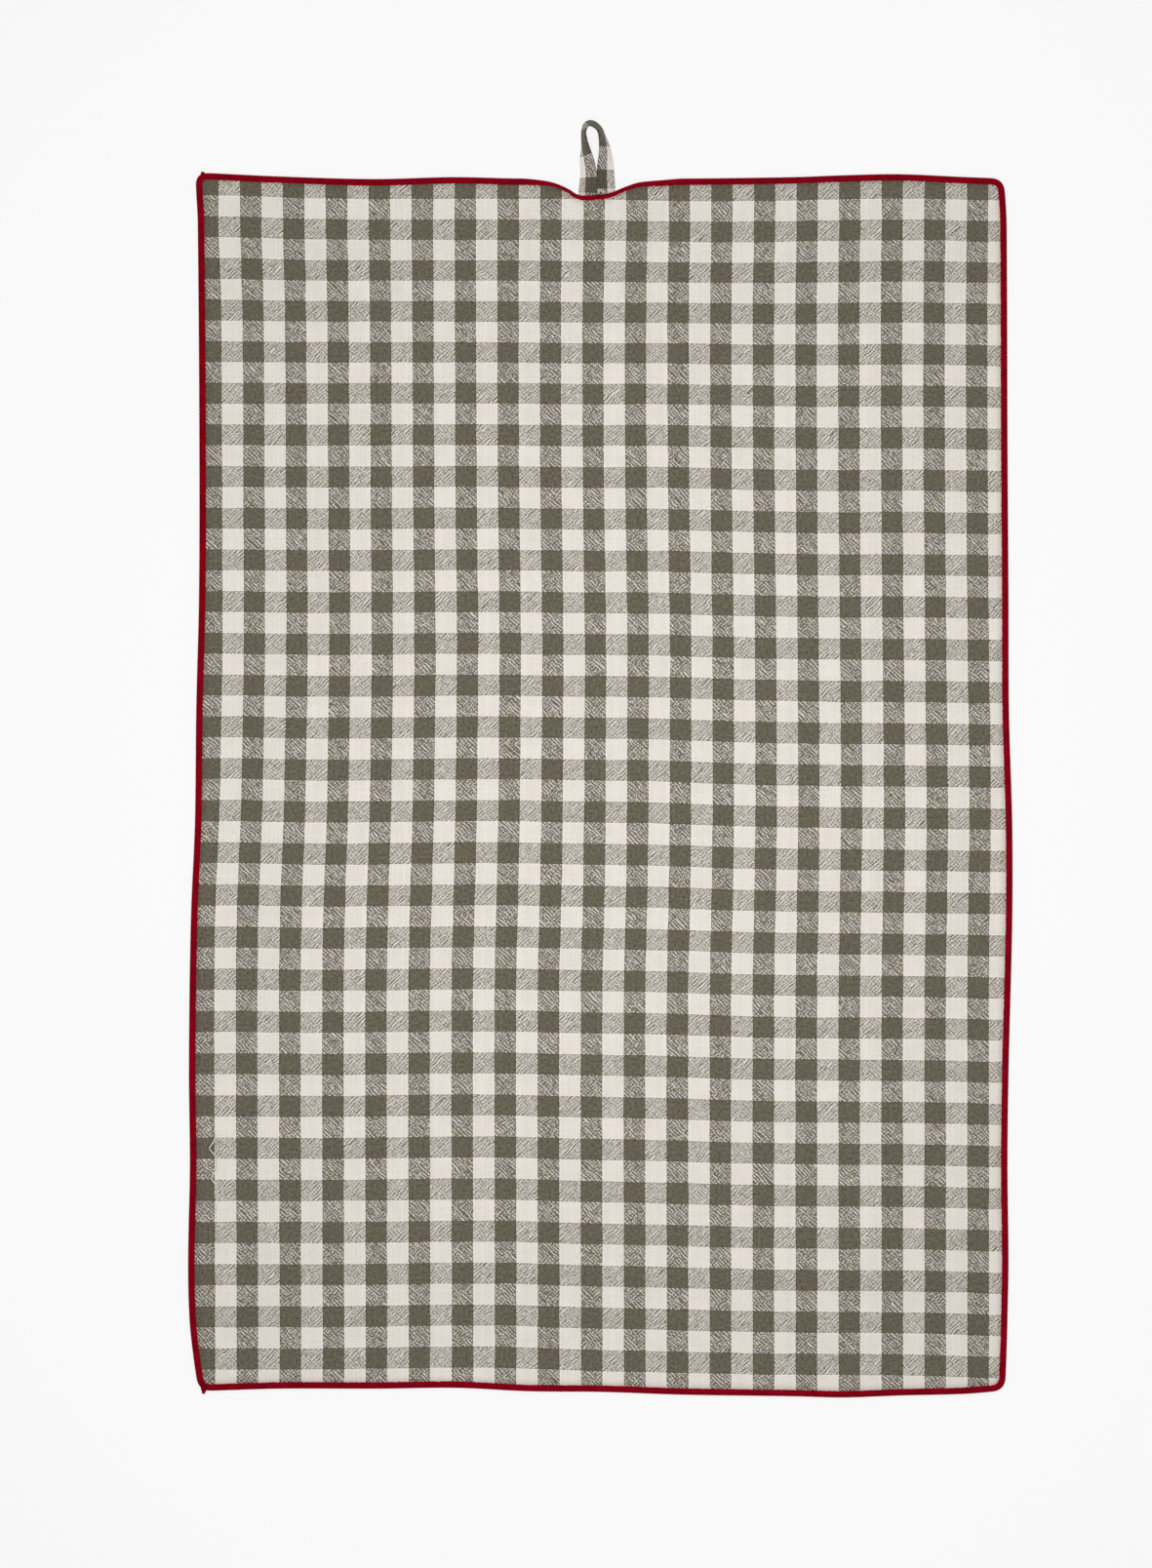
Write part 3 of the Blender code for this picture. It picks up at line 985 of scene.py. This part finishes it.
def weave_group():
    """A plain weave of light and dark yarns in checks, over a map that is whole at the check's lines.

    Where yarns of both colours cross, slack ones show as short slanting streaks.
    """
    tree, wire, given, result = new_group(
        "checked_weave",
        (
            ("Map", "Vector", None),
            ("Light Yarn", "Color", (0.8, 0.75, 0.68, 1.0)),
            ("Dark Yarn", "Color", (0.14, 0.12, 0.08, 1.0)),
            ("Yarns a Check", "Float", 22.0),
            ("Streaks", "Float", 1.0),
        ),
        (("Color", "Color"), ("Height", "Float")),
    )
    math_node, yarns = wire.math, given["Yarns a Check"]
    split = wire.add("ShaderNodeSeparateXYZ", {"Vector": given["Map"]}).outputs
    column, row = math_node("FLOOR", split[0]), math_node("FLOOR", split[1])
    warp_at, weft_at = math_node("MULTIPLY", split[0], yarns), math_node("MULTIPLY", split[1], yarns)
    warp, weft = math_node("FLOOR", warp_at), math_node("FLOOR", weft_at)
    off_warp = math_node("SUBTRACT", math_node("SUBTRACT", warp_at, warp), 0.5)
    off_weft = math_node("SUBTRACT", math_node("SUBTRACT", weft_at, weft), 0.5)
    column_dark = math_node("FLOORED_MODULO", column, 2.0)
    row_dark = math_node("FLOORED_MODULO", row, 2.0)
    odd = math_node("FLOORED_MODULO", math_node("ADD", warp, weft), 2.0)
    side = math_node("MULTIPLY_ADD", odd, -2.0 * YARN_WAVE, YARN_WAVE)

    only_column = math_node("MULTIPLY", column_dark, math_node("SUBTRACT", 1.0, row_dark))
    only_row = math_node("MULTIPLY", row_dark, math_node("SUBTRACT", 1.0, column_dark))
    falling = math_node("SUBTRACT", warp_at, weft_at)
    rising = math_node("ADD", warp_at, weft_at)
    gap = math_node("SUBTRACT", falling, rising)
    over_streak = math_node("MULTIPLY_ADD", only_column, gap, rising)
    along_streak = math_node("SUBTRACT", falling, math_node("MULTIPLY", only_column, gap))
    square = math_node("MULTIPLY_ADD", row, SQUARE_STEPS[1], math_node("MULTIPLY", column, SQUARE_STEPS[0]))
    streak_place = wire.vector(
        math_node("MULTIPLY", over_streak, STREAK_ACROSS),
        math_node("MULTIPLY", along_streak, STREAK_ALONG),
        square,
    )
    drift = wire.noise(streak_place, 1.0, output="Color")
    drift = wire.add("ShaderNodeSeparateColor", {"Color": drift}).outputs
    patch_place = wire.vector(
        math_node("FLOOR", math_node("MULTIPLY", over_streak, 1.0 / PATCH_ACROSS)),
        math_node("FLOOR", math_node("MULTIPLY", along_streak, 1.0 / PATCH_ALONG)),
        square,
    )
    patch = wire.random("3D", Vector=patch_place)["Color"]
    patch = wire.add("ShaderNodeSeparateColor", {"Color": patch}).outputs
    streak = streak_wave(wire, over_streak, drift[0], patch[0])
    cross = streak_wave(wire, along_streak, drift[2], patch[2])
    least, most = (STREAK_GAIN * part for part in STREAK_RANGE)
    strength = math_node("MULTIPLY_ADD", drift[1], most - least, least)
    weak, strong = PATCH_RANGE
    strength = math_node("MULTIPLY", strength, math_node("MULTIPLY_ADD", patch[1], strong - weak, weak))
    cross = math_node("MULTIPLY", cross, math_node("MULTIPLY_ADD", patch[1], weak - strong, strong))
    streak = math_node("MULTIPLY_ADD", streak, strength, math_node("MULTIPLY", cross, CROSS_GAIN))
    each_float = wire.random("2D", Vector=wire.vector(warp, weft))["Value"]
    floats = math_node("MULTIPLY_ADD", each_float, FLOAT_GAIN, -FLOAT_GAIN / 2)
    uneven = math_node("MULTIPLY", math_node("ADD", streak, floats), given["Streaks"])
    streaky = math_node("MULTIPLY_ADD", only_row, ROW_STREAKS - PLAIN_STREAKS, PLAIN_STREAKS)
    uneven = math_node(
        "MULTIPLY", uneven, math_node("MULTIPLY_ADD", only_column, 1.0 - PLAIN_STREAKS, streaky)
    )

    shown = math_node("MULTIPLY_ADD", math_node("SUBTRACT", only_column, only_row), COLUMN_GAIN, WARP_GAIN)
    lead = math_node("ADD", shown, uneven)
    warp_crimp = math_node("MULTIPLY", side, math_node("COSINE", math_node("MULTIPLY", off_weft, math.pi)))
    weft_crimp = math_node("MULTIPLY", side, math_node("COSINE", math_node("MULTIPLY", off_warp, math.pi)))
    warp_drop = math_node("MULTIPLY", math_node("MULTIPLY", off_warp, off_warp), 4.0 * YARN_ROUND)
    weft_drop = math_node("MULTIPLY", math_node("MULTIPLY", off_weft, off_weft), 4.0 * YARN_ROUND)
    warp_top = math_node("ADD", math_node("SUBTRACT", warp_crimp, warp_drop), lead)
    weft_top = math_node("SUBTRACT", math_node("MULTIPLY", weft_crimp, -1.0), weft_drop)
    step = math_node("SUBTRACT", math_node("SUBTRACT", warp_top, weft_top), lead)
    over = math_node("MULTIPLY_ADD", step, YARN_SHOW, lead)
    cover = wire.ramp(over, -COVER_SOFT, COVER_SOFT)
    top = math_node("MAXIMUM", warp_top, weft_top)

    tone_warp = wire.random("1D", W=warp)["Value"]
    tone_weft = wire.random("1D", W=math_node("ADD", weft, 0.5))["Value"]
    warp_colour = wire.blend(column_dark, given["Light Yarn"], given["Dark Yarn"])
    weft_colour = wire.blend(row_dark, given["Light Yarn"], given["Dark Yarn"])
    colour = wire.blend(cover, weft_colour, warp_colour)
    tone = wire.add(
        "ShaderNodeMix", {"Factor": cover, "A": tone_weft, "B": tone_warp}, data_type="FLOAT"
    ).outputs["Result"]
    tone = math_node("MULTIPLY_ADD", tone, TONE_SPREAD, 1.0 - TONE_SPREAD / 2)
    # Painted shade where the yarns' tops sink into the gaps, and a touch of painted light on their crowns
    tone = math_node("MULTIPLY", tone, wire.ramp(top, *GAP_HEIGHTS, *GAP_SHADE_TONES))
    both_dark = math_node("MULTIPLY", column_dark, row_dark)
    # Tone that follows the floats' rise: partly random from float to float, partly painted shade and light
    # along the streaks' relief
    mottle_and_shade = math_node("MULTIPLY_ADD", both_dark, DARK_MOTTLE_AND_SHADE - LIGHT_MOTTLE_AND_SHADE, LIGHT_MOTTLE_AND_SHADE)
    tone = math_node("MULTIPLY", tone, math_node("MULTIPLY_ADD", uneven, mottle_and_shade, 1.0))
    for place, dark in ((split[0], column_dark), (split[1], row_dark)):
        tone = math_node("MULTIPLY", tone, check_rim(wire, place, yarns, dark))
    grain = soft_noise(wire, given["Map"], GRAIN_SCALE)
    grain_depth = math_node("MULTIPLY_ADD", both_dark, DARK_GRAIN - LIGHT_GRAIN, LIGHT_GRAIN)
    tone = math_node("MULTIPLY", tone, math_node("MULTIPLY_ADD", grain, grain_depth, 1.0))
    tint = soft_noise(wire, given["Map"], TINT_SCALE)
    tones = []
    for everywhere, in_columns in zip(TINT, COLUMN_TINT):
        amount = math_node("MULTIPLY", tint, math_node("MULTIPLY_ADD", only_column, in_columns, everywhere))
        tones.append(math_node("MULTIPLY", tone, math_node("ADD", amount, 1.0)))
    wire.feed(result["Color"], wire.shade(colour, *tones))
    wire.feed(result["Height"], top)
    return tree


def variation_group():
    """A colour made a little lighter and darker in soft patches."""
    tree, wire, given, result = new_group(
        "soft_variation",
        (
            ("Place", "Vector", None),
            ("Color", "Color", (0.5, 0.5, 0.5, 1.0)),
            ("Patches a Metre", "Float", 40.0),
            ("Amount", "Float", 0.1),
        ),
        (("Color", "Color"),),
    )
    patches = wire.noise(given["Place"], given["Patches a Metre"], 2.0)
    tone = wire.math("MULTIPLY", wire.math("SUBTRACT", patches, 0.5), given["Amount"])
    tone = wire.math("MULTIPLY_ADD", tone, 2.0, 1.0)
    wire.feed(result["Color"], wire.shade(given["Color"], tone, tone, tone))
    return tree


def new_material(name, roughness, sheen, gloss):
    """A material with plain surface values, its wiring and its shader."""
    finish = bpy.data.materials.new(name)
    finish.use_nodes = True
    shader = finish.node_tree.nodes["Principled BSDF"]
    shader.location = SHADER_PLACE
    finish.node_tree.nodes["Material Output"].location = OUTPUT_PLACE
    shader.inputs["Roughness"].default_value = roughness
    shader.inputs["Sheen Weight"].default_value = sheen
    shader.inputs["Sheen Roughness"].default_value = SHEEN_ROUGHNESS
    shader.inputs["Specular IOR Level"].default_value = gloss
    return finish, Wiring(finish.node_tree), shader


def use_group(wire, name, build, inputs):
    """A group's outputs in a material, the group built the first time that it is asked for."""
    tree = bpy.data.node_groups.get(name) or build()
    node = wire.add("ShaderNodeGroup", node_tree=tree)
    for label, value in inputs.items():
        wire.feed(node.inputs[label], value)
    return node.outputs


def soft_patches(wire, place, colour, patches, amount):
    """A colour with soft patches of variation, so many to the metre and so strong."""
    inputs = {"Place": place, "Color": colour, "Patches a Metre": patches, "Amount": amount}
    return use_group(wire, "soft_variation", variation_group, inputs)["Color"]


def checked_material(name, settings, yarns, streaks, dark_share):
    """The checked weave, with its yarns' relief and soft patches.

    dark_share is how much of the dark yarns' colour is kept.
    """
    finish, wire, shader = new_material(name, CLOTH_ROUGHNESS, CLOTH_SHEEN, CLOTH_GLOSS)
    checks = wire.add("ShaderNodeUVMap", uv_map="checks").outputs["UV"]
    woven = use_group(
        wire,
        "checked_weave",
        weave_group,
        {
            "Map": checks,
            "Light Yarn": (*settings.light_colour, 1.0),
            "Dark Yarn": (*[dark_share * part for part in settings.dark_colour], 1.0),
            "Yarns a Check": float(yarns),
            "Streaks": streaks,
        },
    )
    place = wire.add("ShaderNodeTexCoord").outputs["Object"]
    varied = soft_patches(wire, place, woven["Color"], CLOTH_PATCHES_A_METRE, CLOTH_PATCHES)
    bump = wire.add(
        "ShaderNodeBump", {"Height": woven["Height"], "Distance": settings.weave_relief, "Strength": 1.0}
    )
    wire.feed(shader.inputs["Base Color"], varied)
    wire.feed(shader.inputs["Normal"], bump.outputs["Normal"])
    return finish


def thread_material(name, colour, turns, gloss):
    """Twisted thread, its plies slanting round it, with painted shade in the grooves between them."""
    finish, wire, shader = new_material(name, THREAD_ROUGHNESS, 0.0, gloss)
    place = wire.add("ShaderNodeTexCoord").outputs
    split = wire.add("ShaderNodeSeparateXYZ", {"Vector": place["UV"]}).outputs
    twist = wire.math("MULTIPLY_ADD", split[0], turns, wire.math("MULTIPLY", split[1], TWIST_SLANT))
    ply = wire.math("ABSOLUTE", wire.math("SINE", wire.math("MULTIPLY", twist, math.pi)))
    fuzz = wire.noise(place["Object"], FUZZ_A_METRE, 1.0)
    height = wire.math("MULTIPLY_ADD", fuzz, FUZZ_HEIGHT, ply)
    bump = wire.add(
        "ShaderNodeBump",
        {"Height": height, "Distance": THREAD_RELIEF * MM, "Strength": THREAD_RELIEF_STRENGTH},
    )
    # Painted shade in the grooves between the plies
    groove = wire.ramp(ply, 0.0, GROOVE_SHARE)
    shaded = wire.blend(groove, (*[GROOVE_SHADE_TONE * part for part in colour], 1.0), (*colour, 1.0))
    varied = soft_patches(wire, place["Object"], shaded, THREAD_PATCHES_A_METRE, THREAD_PATCHES)
    wire.feed(shader.inputs["Base Color"], varied)
    wire.feed(shader.inputs["Normal"], bump.outputs["Normal"])
    return finish


def floor_material(colour, glow):
    """A plain pale floor, lit from within as a light table is, with the faintest unevenness."""
    finish, wire, shader = new_material("pale_floor", 1.0, 0.0, 0.0)
    shader.inputs["Emission Strength"].default_value = glow
    place = wire.add("ShaderNodeTexCoord").outputs["Object"]
    varied = soft_patches(wire, place, (*colour, 1.0), FLOOR_PATCHES_A_METRE, FLOOR_PATCHES)
    wire.feed(shader.inputs["Base Color"], varied)
    shader.inputs["Emission Color"].default_value = (1.0, 1.0, 1.0, 1.0)
    return finish


class TowelClothSettings(bpy.types.PropertyGroup):
    """The cloth's yarns, colours and relief."""

    light_colour: bpy.props.FloatVectorProperty(
        name="Light Yarn",
        description="Colour of the cream yarns",
        subtype="COLOR",
        size=3,
        min=0.0,
        max=1.0,
        default=(0.798, 0.746, 0.683),
    )
    dark_colour: bpy.props.FloatVectorProperty(
        name="Dark Yarn",
        description="Colour of the olive grey yarns",
        subtype="COLOR",
        size=3,
        min=0.0,
        max=1.0,
        default=(0.130, 0.114, 0.079),
    )
    yarns_per_check: bpy.props.IntProperty(
        name="Yarns a Check",
        description="Yarns of one colour side by side, each way; an even number",
        default=22,
        min=2,
        max=60,
    )
    cloth_thickness: bpy.props.FloatProperty(
        name="Cloth Thickness",
        description="Thickness of the woven cloth",
        unit="LENGTH",
        default=0.9 * MM,
        min=0.2 * MM,
        max=1.4 * MM,
    )
    weave_relief: bpy.props.FloatProperty(
        name="Weave Relief",
        description="How far the yarns stand out from the gaps between them",
        unit="LENGTH",
        default=0.025 * MM,
        min=0.0,
        max=0.6 * MM,
    )
    wrinkles: bpy.props.FloatProperty(
        name="Wrinkles",
        description="Height of the small wrinkles",
        unit="LENGTH",
        default=0.6 * MM,
        min=0.0,
        max=2.0 * MM,
    )


class TowelEdgingSettings(bpy.types.PropertyGroup):
    """The overlocked edging's thread and stitches."""

    thread_colour: bpy.props.FloatVectorProperty(
        name="Thread Colour",
        description="Colour of the edging's thread",
        subtype="COLOR",
        size=3,
        min=0.0,
        max=1.0,
        default=(0.272, 0.0009, 0.0095),
    )
    stitch_pitch: bpy.props.FloatProperty(
        name="Stitch Pitch",
        description="Distance from one stitch to the next",
        unit="LENGTH",
        default=0.85 * MM,
        min=0.7 * MM,
        max=4.0 * MM,
    )
    thread_width: bpy.props.FloatProperty(
        name="Thread Width",
        description="Thickness of the stitching thread",
        unit="LENGTH",
        default=0.9 * MM,
        min=0.3 * MM,
        max=1.2 * MM,
    )
    thread_spread: bpy.props.FloatProperty(
        name="Thread Spread",
        description="How much wider than thick the thread lies along the edge",
        default=1.25,
        min=0.5,
        max=2.0,
    )


class TowelLoopSettings(bpy.types.PropertyGroup):
    """The hanging loop's yarns and the thread that tacks it."""

    yarns_per_check: bpy.props.IntProperty(
        name="Tape Yarns a Check",
        description="Yarns of one colour side by side in the tape, each way; an even number",
        default=24,
        min=2,
        max=80,
    )
    streaks: bpy.props.FloatProperty(
        name="Tape Streaks",
        description="Strength of the streaks in the tape's two-coloured checks",
        default=1.0,
        min=0.0,
        max=3.0,
    )
    dark_share: bpy.props.FloatProperty(
        name="Tape Dark Yarn",
        description="Share of the cloth's dark yarn colour that the tape's denser dark yarns show",
        default=0.72,
        min=0.2,
        max=1.5,
    )
    tack_thickness: bpy.props.FloatProperty(
        name="Tacking Thread",
        description="Thickness of the pale thread that tacks the loop's legs together",
        unit="LENGTH",
        default=0.7 * MM,
        min=0.2 * MM,
        max=1.0 * MM,
    )


class TowelStageSettings(bpy.types.PropertyGroup):
    """The floor, the light and the camera."""

    floor_colour: bpy.props.FloatVectorProperty(
        name="Floor Colour",
        description="Colour of the floor",
        subtype="COLOR",
        size=3,
        min=0.0,
        max=1.0,
        default=(0.16, 0.16, 0.16),
    )
    floor_glow: bpy.props.FloatProperty(
        name="Floor Glow",
        description="Light that the floor gives off, as a light table does",
        default=0.81,
        min=0.0,
        max=2.0,
    )
    sky_light: bpy.props.FloatProperty(
        name="Sky Light",
        description="Strength of the even light from above",
        default=0.37,
        min=0.0,
        max=2.0,
    )
    horizon_light: bpy.props.FloatProperty(
        name="Horizon Light",
        description="Strength of the even light near the horizon",
        default=0.88,
        min=0.0,
        max=2.0,
    )
    lamp_strength: bpy.props.FloatProperty(
        name="Lamp Strength",
        description="Strength of the broad soft lamp that slants over the towel",
        default=0.38,
        min=0.0,
        max=10.0,
    )
    panel_power: bpy.props.FloatProperty(
        name="Panel Power",
        description="Power of the soft panel over the towel's middle, in watts",
        default=4.4,
        min=0.0,
        max=1000.0,
    )
    camera_height: bpy.props.FloatProperty(
        name="Camera Height",
        description="Height of the camera above the floor",
        unit="LENGTH",
        default=2.279,
        min=0.5,
        max=10.0,
    )


class TOWEL_OT_add_cloth(bpy.types.Operator):
    """Add the checked cloth, with its loose yarns"""

    bl_idname = "towel.add_cloth"
    bl_label = "Add Cloth"
    bl_options = {"REGISTER", "UNDO"}

    def execute(self, context):
        settings = context.scene.towel_cloth
        finish = checked_material("checked_cotton", settings, settings.yarns_per_check, 1.0, 1.0)
        finish_piece(add_cloth(settings), finish, "checked_cotton", ["cloth"])
        yarn = thread_material("cream_yarn", settings.light_colour, PULLED_TWIST, CREAM_GLOSS)
        across, down, above = np.array(PULLED_YARN).T
        at = np.arange(len(across), dtype=float)
        fine = np.linspace(0.0, at[-1], PULLED_POINTS_A_ROW * len(at))
        line = [smooth(np.c_[at, values], 1, fine) for values in (across, down, above)]
        pulled = add_thread("pulled_yarn", [on_cloth(*line, settings)], PULLED_RADIUS * MM)
        finish_piece(pulled, yarn, "checked_cotton")
        fibres = []
        for start_across, start_down, end_across, end_down in FIBRE_TUFT:
            t = np.linspace(0.0, 1.0, TUFT_POINTS)
            fibres.append(
                on_cloth(
                    between(start_across, end_across, t) + TUFT_BOW * bow(t),
                    between(start_down, end_down, t),
                    TUFT_HEIGHT * bow(t) + EDGING_HEIGHT / 2,
                    settings,
                )
            )
        tuft = add_thread("fibre_tuft", fibres, TUFT_RADIUS * MM)
        finish_piece(tuft, yarn, "checked_cotton")
        return {"FINISHED"}


class TOWEL_OT_add_edging(bpy.types.Operator):
    """Add the overlocked edging and its thread ends"""

    bl_idname = "towel.add_edging"
    bl_label = "Add Edging"
    bl_options = {"REGISTER", "UNDO"}

    def execute(self, context):
        settings = context.scene.towel_edging
        finish = thread_material("red_thread", settings.thread_colour, RED_TWIST, RED_GLOSS)
        rng = np.random.default_rng(STITCH_SEED)
        for name, path, share in edging_runs():
            piece = add_stitches("stitched_" + name, path, share, np.ones(len(path)), settings, rng)
            finish_piece(piece, finish, "red_thread", [name])
        for name, *line in THREAD_ENDS:
            start_across, start_down, end_across, end_down, start_size, end_size = line
            t = np.linspace(0.0, 1.0, THREAD_END_POINTS)
            plan = np.c_[
                between(start_across, end_across, t), CLOTH_LENGTH / 2 - between(start_down, end_down, t)
            ]
            path = in_frame(plan, EDGING_MIDDLE)
            taper = between(start_size, end_size, t)
            piece = add_stitches(name, path, np.ones(len(t)), taper, settings, rng)
            finish_piece(piece, finish, "red_thread")
        return {"FINISHED"}


class TOWEL_OT_add_hanging_loop(bpy.types.Operator):
    """Add the hanging loop and the stitches that tack its legs together"""

    bl_idname = "towel.add_hanging_loop"
    bl_label = "Add Hanging Loop"
    bl_options = {"REGISTER", "UNDO"}

    def execute(self, context):
        cloth, settings = context.scene.towel_cloth, context.scene.towel_loop
        finish = checked_material(
            "checked_tape", cloth, settings.yarns_per_check, settings.streaks, settings.dark_share
        )
        finish_piece(add_hanging_loop(), finish, "checked_tape", ["hanging_loop"])
        yarn = thread_material("tacking_thread", cloth.light_colour, TACK_TWIST, CREAM_GLOSS)
        lines = []
        for start_across, start_up, end_across, end_up in BASE_THREADS:
            t = np.linspace(0.0, 1.0, TACK_POINTS)
            plan = np.c_[
                between(start_across, end_across, t),
                CLOTH_LENGTH / 2 - LOOP_BELOW_TOP + between(start_up, end_up, t),
            ]
            lines.append(in_frame(plan, TACK_HEIGHT + TACK_BOW * bow(t)))
        tack = add_thread("tacking_stitches", lines, settings.tack_thickness / 2)
        finish_piece(tack, yarn, "checked_tape")
        return {"FINISHED"}


class TOWEL_OT_add_stage(bpy.types.Operator):
    """Add the floor, the lights and the camera"""

    bl_idname = "towel.add_stage"
    bl_label = "Add Stage"
    bl_options = {"REGISTER", "UNDO"}

    def execute(self, context):
        scene, settings = context.scene, context.scene.towel_stage
        bpy.ops.object.select_all(action="DESELECT")
        bpy.ops.mesh.primitive_plane_add(size=FLOOR_SIZE, location=(0.0, 0.0, FLOOR_HEIGHT))
        floor = context.object
        floor.name = floor.data.name = "floor"
        bpy.ops.object.transform_apply(location=True, rotation=True, scale=True)
        floor.data.materials.append(floor_material(settings.floor_colour, settings.floor_glow))
        world = bpy.data.worlds.new("soft_light")
        world.use_nodes = True
        sky = world.node_tree.nodes["Background"]
        sky.inputs["Color"].default_value = (1.0, 1.0, 1.0, 1.0)
        wire = Wiring(world.node_tree)
        direction = wire.add("ShaderNodeTexCoord").outputs["Generated"]
        rise = wire.add("ShaderNodeSeparateXYZ", {"Vector": direction}).outputs["Z"]
        strength = wire.ramp(rise, *HORIZON_RISE, settings.horizon_light, settings.sky_light)
        wire.feed(sky.inputs["Strength"], strength)
        scene.world = world
        bpy.ops.object.light_add(type="SUN", location=LAMP_PLACE)
        lamp = context.object
        lamp.name = lamp.data.name = "soft_lamp"
        lamp.data.angle = math.radians(LAMP_BREADTH)
        lamp.data.energy = settings.lamp_strength
        aim = Vector((0.0, 0.0, 0.0)) - lamp.location
        lamp.rotation_euler = aim.to_track_quat("-Z", "Y").to_euler()
        bpy.ops.object.light_add(type="AREA", location=PANEL_PLACE)
        panel = context.object
        panel.name = panel.data.name = "overhead_panel"
        panel.data.shape = "RECTANGLE"
        panel.data.size = PANEL_WIDTH
        panel.data.size_y = PANEL_LENGTH
        panel.data.energy = settings.panel_power
        panel.visible_camera = False
        bpy.ops.object.camera_add(location=(*CAMERA_PLACE, settings.camera_height))
        camera = context.object
        camera.name = camera.data.name = "camera"
        camera.rotation_euler = (0.0, 0.0, 0.0)
        camera.data.lens = CAMERA_LENS
        camera.data.sensor_width = CAMERA_SENSOR
        camera.data.clip_end = CAMERA_REACH
        scene.camera = camera
        scene.view_settings.view_transform = "Standard"
        return {"FINISHED"}


class TOWEL_PT_sidebar(bpy.types.Panel):
    """The towel's sizes, colours and pieces"""

    bl_label = "Tea Towel"
    bl_idname = "TOWEL_PT_sidebar"
    bl_space_type = "VIEW_3D"
    bl_region_type = "UI"
    bl_category = "Tea Towel"

    def draw(self, context):
        for settings_name, operator in PANEL_ROWS:
            settings = getattr(context.scene, settings_name)
            box = self.layout.box()
            for name in settings.__annotations__:
                box.prop(settings, name)
            box.operator(operator)


PANEL_ROWS = (
    ("towel_cloth", "towel.add_cloth"),
    ("towel_edging", "towel.add_edging"),
    ("towel_loop", "towel.add_hanging_loop"),
    ("towel_stage", "towel.add_stage"),
)
SETTINGS = {
    "towel_cloth": TowelClothSettings,
    "towel_edging": TowelEdgingSettings,
    "towel_loop": TowelLoopSettings,
    "towel_stage": TowelStageSettings,
}
CLASSES = (
    *SETTINGS.values(),
    TOWEL_OT_add_cloth,
    TOWEL_OT_add_edging,
    TOWEL_OT_add_hanging_loop,
    TOWEL_OT_add_stage,
    TOWEL_PT_sidebar,
)


def register():
    for item in CLASSES:
        bpy.utils.register_class(item)
    for name, group in SETTINGS.items():
        setattr(bpy.types.Scene, name, bpy.props.PointerProperty(type=group))


def unregister():
    for name in SETTINGS:
        delattr(bpy.types.Scene, name)
    for item in reversed(CLASSES):
        bpy.utils.unregister_class(item)


def main():
    register()
    bpy.ops.towel.add_stage()
    bpy.ops.towel.add_cloth()
    bpy.ops.towel.add_edging()
    bpy.ops.towel.add_hanging_loop()


if __name__ == "__main__":
    main()
